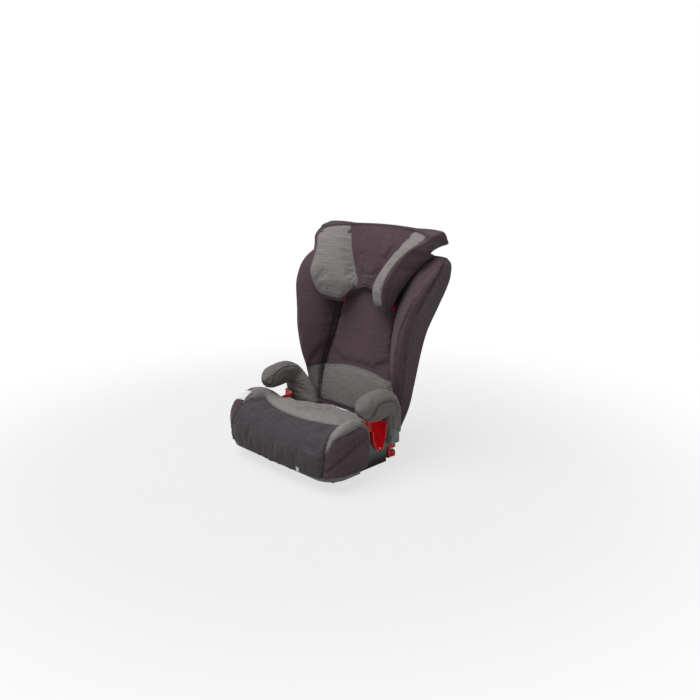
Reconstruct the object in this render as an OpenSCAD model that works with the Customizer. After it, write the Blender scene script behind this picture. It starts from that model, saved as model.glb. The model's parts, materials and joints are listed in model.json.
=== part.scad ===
// High-back booster seat: a low cushion base with two padded armrests, a reclining winged
// backrest, a bowl-shaped headrest that slides up the back, and two rear anchor arms that pull out.
// Millimetres, floor at z = 0, the front of the seat faces -Y.

/* [Backrest] */
// Lean of the backrest from upright at rest, degrees
recline = 14; // [10:1:18]
// Height of the recline axle above the floor
hinge_z = 100; // [96:1:104]
// Depth of the recline axle behind the seat centre
hinge_y = 118; // [116:1:124]
// Height of the backrest above its axle, along the back
back_h = 497; // [480:1:520]
// Half width across the wings at shoulder height
wing_w = 246; // [236:1:252]
// Half width of the backrest at the waist
waist_w = 191; // [186:1:196]
// Reach of the wings in front of the axle line
wing_reach = 140; // [125:1:150]
// Half thickness of the padded wing edge
wing_r = 18; // [15:1:20]
// Wall of the backrest shell
back_wall = 4; // [3:0.5:5]

/* [Headrest] */
// Depth of the lower edge of the headrest below the top of the backrest
head_drop = 154; // [147:1:157]
// Height of the headrest rim above the top of the backrest
head_rise = 81; // [75:1:87]
// Half width of the headrest rim
head_w = 216; // [208:1:220]
// Reach of the headrest wings in front of the axle line
head_reach = 160; // [150:1:166]
// Travel of the headrest up the back
head_travel = 150; // [100:12.5:150]
// Spacing of the height notches
notch_pitch = 12.5; // [12.5:12.5:25]

/* [Base] */
// Half width of the seat shell under the thigh bolsters
base_w = 221; // [216:1:222]
// Half width of the shell between the armrests
deck_w = 160; // [159:1:160]
// Height of the deck above the floor
deck_z = 96; // [92:1:98]
// Front of the seat shell
base_front = 199; // [194:1:201]
// Corner radius of the seat shell at the front
base_corner = 56; // [50:1:64]
// Wall of the seat shell
base_wall = 3.5; // [3:0.5:5]
// Height of the front of the seat cushion
cushion_z = 160; // [154:1:166]
// Rise of the thigh bolsters above the cushion
bolster_rise = 26; // [16:1:32]

/* [Armrests] */
// Distance of an armrest's middle outside the deck
arm_out = 39; // [38:1:41]
// Half width of an armrest with its cover
arm_half = 30; // [27:1:31]
// Height of the armrest centre line
arm_z = 214; // [210:1:220]

/* [Anchor arms] */
// Width of an anchor arm
anchor_w = 30; // [29:1:30]
// Height of an anchor arm
anchor_h = 34; // [32:1:36]
// Rear end of the anchor arms when pushed in
anchor_end = 124; // [122:1:128]
// Travel of the anchor arms
anchor_travel = 96; // [64:16:96]
// Radius of the anchor bar seat in the jaws
jaw_r = 3.1; // [3.05:0.01:3.15]

/* [Fits] */
// Cover cloth thickness
cloth = 3; // [2.5:0.5:3.5]
// Space left between soft layers
soft_gap = 0.3; // [0.3:0.1:0.5]
// Space left beside sliding parts
slide_gap = 0.5; // [0.4:0.1:0.6]
// Radial space around a turning pin
pin_gap = 0.05; // [0.03:0.01:0.08]

/* [Hidden] */
plum = "#4a3d42";
light_grey = "#8c8a86";
foam_white = "#d8d6cc";
plastic = "#6f7a75";
dark_plastic = "#3c4042";
red = "#b81a2a";
steel = "#a9adb0";
pin_r = 2.5;
axle_r = 5;
ear_r = 14;
axle_half = 104;
ear_w = 8;
ear_in = 44;
ear_out = 94;
hook_x = 72;
hook_w = 26;
// Backrest local depths: front of the pad and rear of the shell
pad_y = -26;
shell_y = 26;
cover_gap = cloth + 0.8;
head_gap = cover_gap + 1.3;
rear_r = 19;
head_low = back_h - head_drop;
head_top = back_h + head_rise;
arm_x = deck_w + arm_out;
// Half the spacing of the two anchor bars, 140 as in a car, and the height of an anchor arm
anchor_inset = 20;
anchor_x = deck_w - anchor_inset;
anchor_z = 27.5;
anchor_low = anchor_z - anchor_h / 2;
anchor_high = anchor_z + anchor_h / 2;
block_rear = 82;
side_rear = -88;
skirt_z = 34;
tub_front = -146;
tail_w = anchor_x - 28;
tail_rear = 126;
tail_z = 70;
tunnel_wall = 4;
tunnel_front = -90;
mouth_front = 60;
anchor_front = -75;
jaw_front = anchor_end - 34;
cheek_out = 11;
cheek_in = 5.5;
throat_y = anchor_end - 12;
latch_y = anchor_end - 23;
latch_z = anchor_z + 8.5;
bar_y = -58;
bar_size = 16;
bar_z = anchor_z + bar_size / 2;
strip_t = 3;
slot_pitch = 16;
nose_y = -30;
lock_y = nose_y - 32;
lock_z = 52;
handle_front = -124;
handle_rear = lock_y - 9;
handle_z = 44;
handle_half = 36;
handle_t = 4;
// Stem, rails and lever on the rear of the backrest
stem_half = 58;
stem_y = shell_y + 6;
stem_t = 8;
stem_low = back_h - 235;
stem_high = back_h + 51;
rail_low = back_h - 201;
rail_high = back_h - 7;
pivot_z = back_h - 67;
pivot_y = stem_y + stem_t + 11;
lever_t = 8;
rim_droop = 22;
arch_rise = 38;
tooth_z = back_h - 179;
head_rear = 22;
head_back = -29;

// Value at k on a smooth curve through the listed [key, value] pairs
function slope(p, i) = (p[min(i + 1, len(p) - 1)][1] - p[max(i - 1, 0)][1])
    / (p[min(i + 1, len(p) - 1)][0] - p[max(i - 1, 0)][0]);
function segment(p, k, i = 0) = i >= len(p) - 2 || k <= p[i + 1][0] ? i : segment(p, k, i + 1);
function curve(p, k) = let (
    i = segment(p, k),
    w = p[i + 1][0] - p[i][0],
    t = max(0, min(1, (k - p[i][0]) / w)),
    a = p[i][1],
    b = p[i + 1][1],
    d = b - a)
    a + t * (slope(p, i) * w * (1 - t) * (1 - t)
        + t * (d * (3 - 2 * t) - slope(p, i + 1) * w * (1 - t)));
function mix(a, b, t) = a + (b - a) * t;
function bell(t) = exp(-t * t);
function reverse(p) = [for (i = [len(p) - 1:-1:0]) p[i]];
function both_sides(half) = concat(
    reverse([for (i = [1:len(half) - 1]) [-half[i][0], half[i][1]]]), half);
function lift(p, z) = [for (q = p) [q[0], q[1], z]];
function signed_pow(v, e) = sign(v) * pow(abs(v), e);
function arc(c, r, a, b, n) = [for (i = [0:n - 1]) let (d = mix(a, b, i / (n - 1))) c + r * [cos(d), sin(d)]];

// Solid between two matching grids of points, a the one on the left of the row direction. Quads before
// the middle column are split the other way, so that the two halves match; turn swaps the two splits
module sheet(a, b, middle = 0, turn_a = false, turn_b = false) {
    rows = len(a);
    cols = len(a[0]);
    n = rows * cols;
    function split(p, q, r, t, turned) = turned ? [[p, t, q], [q, t, r]] : [[p, r, q], [p, t, r]];
    faces = [
        for (r = [0:rows - 2], c = [0:cols - 2]) let (k = r * cols + c)
            each split(k, k + 1, k + cols + 1, k + cols, (c < middle) != turn_a),
        for (r = [0:rows - 2], c = [0:cols - 2]) let (k = n + r * cols + c)
            each split(k, k + cols, k + cols + 1, k + 1, (c < middle) != turn_b),
        for (c = [0:cols - 2]) each split(c + 1, c, n + c, n + c + 1, false),
        for (c = [0:cols - 2]) let (k = n - cols + c) each split(k, k + 1, n + k + 1, n + k, false),
        for (r = [0:rows - 2]) let (k = r * cols) each split(k, k + cols, n + k + cols, n + k, false),
        for (r = [1:rows - 1]) let (k = r * cols - 1) each split(k + cols, k, n + k, n + k + cols, false)];
    points = concat([for (r = a) for (p = r) p], [for (r = b) for (p = r) p]);
    polyhedron(points, faces, convexity = 10);
}

// Solid through a stack of closed rings, each end closed by a fan. A core inside a cover takes the
// other split of each quad, since the inner rings of the cover run the other way
module ring_stack(rings, core = false) {
    rows = len(rings);
    cols = len(rings[0]);
    n = rows * cols;
    first = [for (k = [0:2]) mean([for (p = rings[0]) p[k]])];
    last = [for (k = [0:2]) mean([for (p = rings[rows - 1]) p[k]])];
    sides = [for (r = [0:rows - 2], c = [0:cols - 1]) let (d = (c + 1) % cols)
        let (p = r * cols + c, q = p + cols, u = r * cols + d, v = u + cols)
        each core ? [[p, q, u], [q, v, u]] : [[p, q, v], [p, v, u]]];
    ends = [for (c = [0:cols - 1]) let (d = (c + 1) % cols)
        each [[n, c, d], [n + 1, n - cols + d, n - cols + c]]];
    polyhedron(concat([for (r = rings) for (p = r) p], [first, last]), concat(sides, ends), convexity = 10);
}
function mean(v) = v * [for (i = v) 1] / len(v);

module mirrored(side) {
    if (side < 0) mirror([1, 0, 0]) children();
    else children();
}
module in_back() {
    translate([0, hinge_y, hinge_z]) rotate([-recline, 0, 0]) children();
}
module rod_x(r, half) {
    rotate([0, 90, 0]) cylinder(r = r, h = 2 * half, center = true, $fn = 48);
}
module box(x0, x1, y0, y1, z0, z1) {
    translate([x0, y0, z0]) cube([x1 - x0, y1 - y0, z1 - z0]);
}

// Horizontal section of a winged pad at one height. Fields: front half width, rear half width,
// front, rear, seam half width, pad front, edge radius, crown of the pad, bulge of the inner face
function edge_centre(s) = [s[0] - s[6], s[2] + s[6]];
function corner_centre(s) = [s[1] - rear_r, s[3] - rear_r];
function tangent_angle(s, inset) = let (d = edge_centre(s) - [s[4], s[5] + inset])
    atan2(d[1], d[0]) + 180 + acos((s[6] - inset) / norm(d));
function pad_line(s, inset, n) = [for (i = [0:n - 1]) let (t = i / n)
    [s[4] * t, s[5] + inset - s[7] * (1 - t * t)]];
function face_line(s, inset, n) = let (
    p = [s[4], s[5] + inset],
    q = arc(edge_centre(s), s[6] - inset, tangent_angle(s, inset), 360, 2)[0],
    d = (q - p) / norm(q - p))
    [for (i = [0:n - 1]) let (t = i / n) mix(p, q, t) + 4 * s[8] * t * (1 - t) * [d[1], -d[0]]];
function edge_arc(s, inset, n) = arc(edge_centre(s), s[6] - inset, tangent_angle(s, inset), 350, n);
function side_line(s, inset, shares) = let (
    a = edge_centre(s) + [s[6] - inset, 0],
    b = corner_centre(s) + [rear_r - inset, 0])
    [for (t = shares) mix(a, b, t)];
function wrap_half(s, inset) = concat(pad_line(s, inset, 4), face_line(s, inset, 4), edge_arc(s, inset, 6),
    side_line(s, inset, [1 / 3, 2 / 3]), arc(corner_centre(s), rear_r - inset, 0, 80, 3));
function foam_half(s, inset) = let (w = wrap_half(s, inset)) [for (i = [0:9]) w[i]];
// Shell line: across the back, round the rear corner and along the wing
function shell_half(s, inset) = let (c = corner_centre(s)) concat(
    [for (i = [0:3]) [mix(0, c[0], i / 4), s[3] - inset]],
    arc(c, rear_r - inset, 80, 0, 3),
    side_line(s, inset, [2 / 3, 1 / 3, 1 / 8]));

// Backrest sections up the back
wing_width = [[-6, waist_w - 22], [60, waist_w - 5], [130, waist_w - 1], [230, waist_w + 3],
    [290, mix(waist_w, wing_w, 0.2)], [366, mix(waist_w, wing_w, 0.64)], [435, wing_w],
    [back_h - 22, wing_w - 1], [back_h - 8, wing_w - 8], [back_h, wing_w - 20]];
wing_front = [[-6, -35], [60, -45], [100, -60], [150, -89], [200, 30 - wing_reach], [250, 14 - wing_reach],
    [350, -wing_reach], [407, 11 - wing_reach], [445, 34 - wing_reach], [back_h - 22, 68 - wing_reach],
    [back_h - 8, 96 - wing_reach], [back_h, 116 - wing_reach]];
wing_seam = [[-6, 136], [130, 142], [234, 124], [347, 117], [430, 122], [back_h, 150]];
wing_edge = [[-6, 7], [60, 12], [130, wing_r], [430, wing_r], [back_h - 20, 15], [back_h, 11]];
lumbar = [[-6, 3], [70, 9], [130, 5], [220, 2], [330, 1], [back_h, 0]];
wing_flare = [[-6, -10], [60, -7], [100, -3], [150, 9], [230, 13], [366, 9], [back_h - 30, 4], [back_h, 0]];
function back_section(z) = [curve(wing_width, z) + curve(wing_flare, z), curve(wing_width, z),
    curve(wing_front, z), shell_y + cover_gap, curve(wing_seam, z), pad_y, curve(wing_edge, z),
    curve(lumbar, z), mix(2, 7, bell((z - 280) / 170))];
back_low = 18;
wrap_middle = len(wrap_half(back_section(back_low), 0)) - 1;
shell_middle = len(shell_half(back_section(back_low), 0)) - 1;
back_levels = concat([back_low, 34, 60, 95], [for (z = [135:45:back_h - 80]) z],
    [back_h - 55, back_h - 32, back_h - 16, back_h - 6, back_h]);
function back_rows(f, levels = back_levels) = [for (z = levels) lift(both_sides(f(back_section(z))), z)];
back_hem = -6;

// Headrest sections from its lower edge to the rim
head_front = [[head_low, 66 - head_reach], [head_low + 7, 46 - head_reach], [head_low + 20, 24 - head_reach],
    [head_low + 40, 8 - head_reach], [head_low + 65, 2 - head_reach], [head_low + 107, 16 - head_reach],
    [head_top - 91, 32 - head_reach], [head_top - 72, 50 - head_reach], [head_top - 53, 78 - head_reach],
    [head_top - 28, 112 - head_reach], [head_top - 10, 140 - head_reach], [head_top, 150 - head_reach]];
head_width = [[head_low, 132], [head_low + 20, 148], [head_low + 50, 160], [head_low + 107, 173],
    [head_top - 91, 187], [head_top - 53, head_w - 7], [head_top - 20, head_w], [head_top, head_w - 5]];
head_back_width = [[head_low, 104], [head_low + 60, 107], [back_h - 50, 116], [back_h, 138],
    [back_h + 3, 172], [head_top - 36, head_w - 6], [head_top - 18, head_w], [head_top, head_w - 5]];
head_rear_line = [[head_low, head_back], [back_h, head_back], [back_h + 3, head_rear],
    [head_top - 14, head_rear], [head_top, head_rear - 3]];
head_seam = [[head_low, 26], [head_low + 50, 36], [head_low + 137, 84], [head_top - 18, 126],
    [head_top, 128]];
head_pad = [[head_low, -49], [head_low + 40, -49], [head_top - 70, -45], [head_top - 24, -41],
    [head_top - 12, -35], [head_top - 5, -22], [head_top, -8]];
head_edge = [[head_low, 9], [head_low + 30, 14], [head_top - 50, 13], [head_top, 8]];
function head_section(z) = [curve(head_width, z), lookup(z, head_back_width), curve(head_front, z),
    lookup(z, head_rear_line), curve(head_seam, z), curve(head_pad, z), curve(head_edge, z), 2, 4];
head_levels = concat([head_low, head_low + 8, head_low + 24], [for (z = [head_low + 52:34:back_h - 20]) z],
    [back_h, back_h + 3, head_top - 50, head_top - 26, head_top - 11, head_top - 4, head_top]);
// The rim falls away towards its rear corners, and the lower edge arches up between the cheeks
function rim(p, z) = let (
    t = max(0, (z - back_h - 3) / (head_top - back_h - 3)),
    b = max(0, 1 - (z - head_low) / 75))
    [for (q = p) let (w = max(0, min(1, (q[1] + 24) / 42)) * (0.6 + 0.4 * pow(q[0] / head_w, 2)))
        [q[0], q[1], z - rim_droop * t * w + arch_rise * b * pow(max(0, 1 - pow(q[0] / 78, 2)), 1.5)]];
function head_rows(f) = [for (z = head_levels) rim(both_sides(f(head_section(z))), z)];

// Seat cushion outline, from the middle of its front edge round to the middle of its rear edge
seat_x = [[0, 0], [1, 105], [2, 178], [3, base_w - 4], [4, base_w + 8], [5, base_w + 9], [6, base_w + 6],
    [7, base_w - 10], [8, deck_w + 18], [9, deck_w - 2], [10, deck_w - 10], [11, deck_w - 30],
    [12, deck_w - 56], [13, deck_w - 68], [14, 0]];
seat_y = [[0, -base_front - 10], [1, -base_front - 9], [2, -base_front - 4], [3, -base_front + 10],
    [4, -base_front + 40], [5, -118], [6, -82], [7, -59], [8, -52], [9, -34], [10, 12], [11, 32], [12, 50],
    [13, 79], [14, 84]];
seat_hem = [[0, 36], [2, 44], [3, 56], [4, 56], [6, 50], [6.6, 54], [7.6, deck_z + 1], [14, deck_z + 1]];
seat_line = [[-base_front - 10, cushion_z - 34], [-base_front + 24, cushion_z - 9], [-120, cushion_z],
    [-60, cushion_z - 6], [20, cushion_z - 30], [84, cushion_z - 42]];
seat_steps = 22;
function seat_top(p) = curve(seat_line, p[1])
    + bolster_rise * bell((abs(p[0]) - 200) / 44) * bell((p[1] + 104) / 76);
// Inset of the cushion side at each share of its height
seat_side = [[0, 2], [0.14, 0.6], [0.42, 0], [0.7, 3], [0.88, 11], [1, 24]];
// Ring on the cushion at share f of the side height, then share k of the way in over the top
function seat_point(t, side, f, k, inset, low) = let (
    o = [curve(seat_x, t), curve(seat_y, t)],
    s = [0, max(-70, min(40, o[1]))],
    u = (s - o) / norm(s - o),
    hem = lookup(t, seat_hem),
    rim = seat_top(o + u * 24) - inset,
    g = max(f, (low - hem) / (rim - hem)),
    q = mix(o + u * (lookup(g, seat_side) + inset), s, k))
    [side * q[0], q[1], f < 1 ? mix(hem, rim, g) : seat_top(q) - inset];
function seat_ring(row, inset, low = 0) = [for (i = [0:2 * seat_steps - 1]) let (
    side = i <= seat_steps ? 1 : -1,
    t = 14 * (i <= seat_steps ? i : 2 * seat_steps - i) / seat_steps)
    seat_point(t, side, row[0], row[1], inset, low)];
seat_rows = [[0, 0], [0.14, 0], [0.42, 0], [0.7, 0], [0.88, 0], [1, 0], [1, 0.3], [1, 0.6], [1, 0.92]];

module seat_foam() {
    rings = [for (r = seat_rows) seat_ring(r, cloth + soft_gap, deck_z + soft_gap)];
    color(foam_white) ring_stack(rings, core = true);
}
module seat_cover() {
    color(light_grey) ring_stack(concat([for (r = reverse(seat_rows)) seat_ring(r, cloth)],
        [for (r = seat_rows) seat_ring(r, 0)]));
}

// Armrest centre line from the foot of its leg to the front tip, with its half depth and half width.
// The foot spreads inwards to the rear corner of the cushion
arm_y = [[0, 54], [1, 55], [2, 53], [3, 37], [4, 6], [5, -30], [6, -58], [7, -76]];
arm_h = [[0, deck_z + 1], [1, deck_z + 34], [2, arm_z - 44], [3, arm_z - 12], [4, arm_z], [5, arm_z - 1],
    [6, arm_z - 5], [7, arm_z - 8]];
arm_deep = [[0, 27], [1, 28], [2, 28], [3, 27], [4, 26], [5, 24], [6, 19], [7, 6]];
arm_spread = [[0, 32], [1, 28], [2, 16], [2.6, 7], [3.2, 0], [7, 0]];
arm_wide = [[0, arm_half], [5, arm_half], [6, arm_half - 5], [7, 10]];
arm_hang = [[0, 0], [2.3, 0], [3, 0.45], [4, 0.75], [5, 0.75], [6, 0.35], [7, 0]];
function arm_ring(t, inset, hem = 0) = let (
    dy = curve(arm_y, t + 0.02) - curve(arm_y, t - 0.02),
    dz = curve(arm_h, t + 0.02) - curve(arm_h, t - 0.02),
    a = atan2(dz, dy) - 90,
    s = curve(arm_spread, t),
    w = curve(arm_wide, t) + s - inset,
    b = curve(arm_deep, t) - inset)
    [for (i = [0:17]) let (
        u = signed_pow(cos(i * 20), 0.75),
        inner = min(1, s / 26) * max(0, -u),
        side = signed_pow(sin(i * 20), 0.75) * (1 - 0.5 * inner),
        v = side * (1 + (side < 0 ? curve(arm_hang, t) * max(0, u) : 0)),
        rise = hem * max(0, u) * (12 - 16 * v))
        [arm_x - s + u * w, curve(arm_y, t) + 4 * inner + v * b * cos(a),
            curve(arm_h, t) + v * b * sin(a) + rise]];
arm_steps = [0.35, 0.8, 1.3, 1.8, 2.3, 2.7, 3.1, 3.6, 4.2, 4.9, 5.6, 6.2, 6.6, 6.85];
function hem_rise(t) = max(0, (1.8 - t) / 1.45);

module armrest(side) {
    color(plastic) mirrored(side) {
        ring_stack(concat([arm_ring(0, cloth + soft_gap)],
            [for (i = [0:len(arm_steps) - 2]) let (t = arm_steps[i])
                arm_ring(t, cloth + soft_gap, hem_rise(t))]), core = true);
        box(deck_w + soft_gap, arm_x + arm_half - 8, 36, 68, deck_z - 14, deck_z + 8);
    }
}
module armrest_cover(side) {
    color(light_grey) mirrored(side) ring_stack(concat(
        [for (t = reverse(arm_steps)) arm_ring(t, cloth, hem_rise(t))],
        [for (t = concat(arm_steps, [7])) arm_ring(t, 0, hem_rise(t))]));
}

// Lap belt guide: a scoop cut from a hollow egg shape, open outwards and upwards
guide_c = [deck_w + 56, -12, deck_z + 60];
guide_r = [52, 34, 82];
guide_t = 3.5;
function guide_rows(t) = let (r = guide_r + [t, t, t]) [for (v = [-78:11:10]) [for (u = [-88:16:88])
    guide_c + [-r[0] * cos(u) * cos(v), r[1] * sin(u) * cos(v), r[2] * sin(v)]]];
module lap_guide(side) {
    color(red) mirrored(side) sheet(guide_rows(0), guide_rows(guide_t));
}

module base_outline(t) {
    x = base_w - base_corner;
    y = -base_front + base_corner;
    for (side = [-1, 1]) translate([side * x, y]) circle(r = base_corner - t, $fn = 96);
    translate([-x, t - base_front]) square([2 * x, base_corner]);
    translate([t - base_w, y]) square([2 * (base_w - t), side_rear - t - y]);
    translate([t - deck_w, y]) square([2 * (deck_w - t), block_rear - t - y]);
}
module side_profile(half) {
    rotate([90, 0, 90]) linear_extrude(2 * half, center = true) children();
}
module axle_ear(x) {
    difference() {
        union() {
            box(x, x + ear_w, block_rear - base_wall, hinge_y, tail_z - base_wall, deck_z);
            translate([x + ear_w / 2, hinge_y, hinge_z]) rod_x(ear_r, ear_w / 2);
        }
        translate([x + ear_w / 2, hinge_y, hinge_z]) rod_x(axle_r + pin_gap, ear_w);
    }
}
module seat_shell() {
    inner = base_wall;
    color(plastic) {
        difference() {
            union() {
                translate([0, 0, skirt_z]) linear_extrude(deck_z - skirt_z) base_outline(0);
                box(-deck_w, deck_w, tub_front, block_rear, 0, deck_z);
                box(-tail_w, tail_w, 0, tail_rear, 0, tail_z);
            }
            translate([0, 0, skirt_z + inner])
                linear_extrude(deck_z - skirt_z - 2 * inner) base_outline(inner);
            box(inner - deck_w, deck_w - inner, tub_front + inner, block_rear - inner, -1, deck_z - inner);
            box(inner - tail_w, tail_w - inner, 0, tail_rear - inner, -1, tail_z - inner);
            side_profile(deck_w + 1)
                polygon([[tub_front - 1, -1], [tub_front - 1, 14], [tub_front + 16, -1]]);
            for (side = [-1, 1]) translate([side * anchor_x, 0, 0])
                box(-anchor_w / 2 - slide_gap, anchor_w / 2 + slide_gap, block_rear - 2 * inner,
                    block_rear + 1, anchor_low - slide_gap, anchor_high + slide_gap);
        }
        for (side = [-1, 1]) mirrored(side) {
            tunnel();
            axle_ear(ear_in);
            axle_ear(ear_out);
            for (y = [-92, 66]) translate([85, y, 3]) cylinder(r = 6, h = deck_z - 3 - inner / 2, $fn = 32);
            box(52, 54.5, tub_front + 1, block_rear - 1, 62, deck_z - inner / 2);
            box(104, 106.5, tub_front + 1, block_rear - 1, 62, deck_z - inner / 2);
            pawl_bracket();
            handle_rail();
        }
        for (y = [-100, -30, 40]) box(1 - deck_w, deck_w - 1, y, y + 2.5, 66, deck_z - inner / 2);
    }
}
module tunnel() {
    x0 = anchor_x - anchor_w / 2 - slide_gap;
    low = anchor_low - slide_gap;
    high = anchor_high + slide_gap;
    box(x0 - tunnel_wall, deck_w - 1, tunnel_front, block_rear - 1, low - tunnel_wall, low);
    box(x0 - tunnel_wall, deck_w - 1, tunnel_front, block_rear - 1, high, high + tunnel_wall);
    box(x0 - tunnel_wall, x0, mouth_front, block_rear - 1, low - 1, high + 1);
}
module pawl_bracket() {
    difference() {
        box(10, 18, lock_y - 8, lock_y + 8, lock_z - 7, deck_z - base_wall / 2);
        translate([14, lock_y, lock_z]) rod_x(pin_r + pin_gap, 8);
    }
}
module handle_rail() {
    x = handle_half + slide_gap;
    box(x, x + 5, handle_front + 6, handle_rear - 13, handle_z - 5, deck_z - base_wall / 2);
    box(x - 5, x + 1, handle_front + 6, handle_rear - 13, handle_z - 5, handle_z - slide_gap);
}
module underside_cover() {
    color(dark_plastic) box(-tail_w, tail_w, -100, 76, 0, 3);
}
module hinge_axle() {
    color(steel) translate([0, hinge_y, hinge_z]) rod_x(axle_r, axle_half);
}
module pawl_pin() {
    color(steel) translate([0, lock_y, lock_z]) rod_x(pin_r, 18);
}
module lock_pawl() {
    color(steel) difference() {
        union() {
            translate([0, lock_y, lock_z]) rod_x(6, 9);
            box(-6, 6, lock_y, nose_y + 3, lock_z - 3, lock_z + 4);
            box(-6, 6, nose_y - 3, nose_y + 3, bar_z + 0.5, lock_z);
            box(-6, 6, lock_y - 11.5, lock_y, handle_z + handle_t + slide_gap, lock_z + 4);
        }
        translate([0, lock_y, lock_z]) rod_x(pin_r + pin_gap, 10);
    }
}
module release_handle() {
    color(red) {
        difference() {
            box(-handle_half, handle_half, handle_front, handle_rear, handle_z, handle_z + handle_t);
            box(-20, 20, handle_front + 9, handle_rear - 11, handle_z - 1, handle_z + handle_t + 1);
        }
        box(-handle_half, handle_half, handle_front - 5, handle_front + 3, handle_z - 3, handle_z + 14);
    }
}
module isofix_crossbar() {
    half = anchor_x - anchor_w / 2;
    color(steel) translate([0, bar_y, anchor_z]) difference() {
        cube([2 * half, bar_size, bar_size], center = true);
        cube([2 * half + 1, bar_size - 3, bar_size - 3], center = true);
    }
}
module lock_strip() {
    slots = anchor_travel / slot_pitch;
    color(steel) difference() {
        box(-14, 14, nose_y - anchor_travel - 8, nose_y + 8, bar_z, bar_z + strip_t);
        for (i = [0:slots]) translate([0, nose_y - i * slot_pitch, bar_z])
            box(-8, 8, -4, 4, -1, strip_t + 1);
    }
}
module bar_section(w, h, r) {
    square([w - 2 * r, h], center = true);
    square([w, h - 2 * r], center = true);
    for (x = [-1, 1], y = [-1, 1]) translate([x * (w / 2 - r), y * (h / 2 - r)]) circle(r = r, $fn = 32);
}
module at_anchor(side) {
    mirrored(side) translate([anchor_x, 0, anchor_z]) children();
}
module isofix_arm(side) {
    color(plastic) at_anchor(side) difference() {
        translate([0, anchor_end, 0]) rotate([90, 0, 0])
            linear_extrude(anchor_end - anchor_front) bar_section(anchor_w, anchor_h, 3);
        box(-cheek_out - 0.3, cheek_out + 0.3, jaw_front - 0.3, anchor_end + 1,
            -anchor_h / 2 + 3, anchor_h / 2 - 3.2);
        box(-anchor_w, anchor_w, throat_y - 7, anchor_end + 1, -4.8, 4.8);
        box(-6, 6, latch_y - 2, anchor_end + 1, 0, anchor_h);
    }
}
module isofix_jaw(side) {
    color(steel) at_anchor(side) difference() {
        box(-cheek_out, cheek_out, jaw_front, anchor_end - 0.5, -anchor_h / 2 + 3.3, anchor_h / 2 - 3.5);
        box(-cheek_in, cheek_in, jaw_front + 5, anchor_end + 1, -anchor_h, anchor_h);
        translate([0, throat_y, 0]) rod_x(jaw_r, anchor_w);
        box(-anchor_w, anchor_w, throat_y, anchor_end + 1, -jaw_r, jaw_r);
        translate([0, latch_y, latch_z - anchor_z]) rod_x(pin_r + pin_gap, anchor_w);
    }
}
module latch_pin(side) {
    color(steel) at_anchor(side) translate([0, latch_y, latch_z - anchor_z]) rod_x(pin_r, cheek_out);
}
module latch_hook(side) {
    z = latch_z - anchor_z;
    half = cheek_in - slide_gap;
    color(steel) at_anchor(side) difference() {
        union() {
            translate([0, latch_y, z]) rod_x(4.8, half);
            box(-half, half, latch_y, throat_y + 8, z - 1.6, z + 4);
            box(-half, half, throat_y + jaw_r + 1, throat_y + 8, -jaw_r - 0.5, z);
        }
        translate([0, latch_y, z]) rod_x(pin_r + pin_gap, anchor_w);
    }
}
module isofix_button(side) {
    x = anchor_w / 2 + 0.4;
    low = -anchor_h / 2 - 0.4;
    front = jaw_front + 2;
    rear = anchor_end - 2;
    color(red) at_anchor(side) difference() {
        box(-x - 4, x + 4, front, rear, low - 4, anchor_h / 2 - 2);
        box(-x, x, front - 1, rear + 1, low, anchor_h);
        box(-anchor_w, anchor_w, throat_y - 8, rear + 1, -5.5, 5.5);
        for (e = [-1, 1]) translate([e * (x + 9), front + 11, 0])
            cylinder(r = 7, h = anchor_h + 12, center = true, $fn = 48);
    }
}

module hinge_hook(side) {
    low = back_low - 1.5;
    color(dark_plastic) in_back() mirrored(side) translate([hook_x, 0, 0]) difference() {
        union() {
            rod_x(13, hook_w / 2);
            box(-hook_w / 2, hook_w / 2, 0, shell_y + 6, 4, low);
            box(-hook_w / 2, hook_w / 2, shell_y + soft_gap, shell_y + 6, 4, 78);
        }
        rod_x(axle_r + pin_gap, hook_w);
        rotate([-35, 0, 0]) box(-hook_w, hook_w, -4.4, 4.4, -20, 0);
    }
}
module stem_rail(side) {
    x = stem_half + slide_gap;
    color(dark_plastic) in_back() mirrored(side) {
        box(x - 8, x + 7, shell_y + soft_gap, stem_y - slide_gap, rail_low, rail_high);
        box(x, x + 7, shell_y + soft_gap, stem_y + stem_t + 5, rail_low, rail_high);
        box(x - 8, x + 7, stem_y + stem_t + slide_gap, stem_y + stem_t + 5, rail_low, rail_high);
    }
}
module height_rack() {
    notches = head_travel / notch_pitch;
    color(steel) in_back() difference() {
        box(-11, 11, shell_y + soft_gap, stem_y - 1, tooth_z - 12, tooth_z + head_travel + 12);
        for (i = [0:notches]) translate([0, 0, tooth_z + i * notch_pitch])
            box(-12, 12, shell_y + 1.5, stem_y, -3, 3);
    }
}
module headrest_stem() {
    back = stem_y + stem_t;
    color(plastic) in_back() difference() {
        union() {
            box(-stem_half, stem_half, stem_y, back, stem_low, stem_high);
            box(-45, 45, head_rear - head_gap + soft_gap, stem_y + 1, stem_high - 36, stem_high - 3);
            for (x = [-15, 10]) box(x, x + 5, back - 1, pivot_y + 6, pivot_z - 8, pivot_z + 8);
        }
        box(-9, 9, stem_y - 1, back + 1, tooth_z - 9, tooth_z + 9);
        for (x = [-1, 1]) translate([x * 34, 0, 0]) box(-14, 14, stem_y - 1, back + 1, tooth_z, pivot_z - 16);
        translate([0, pivot_y, pivot_z]) rod_x(pin_r + pin_gap, 20);
    }
}
module lever_pin() {
    color(steel) in_back() translate([0, pivot_y, pivot_z]) rod_x(pin_r, 15);
}
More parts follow.
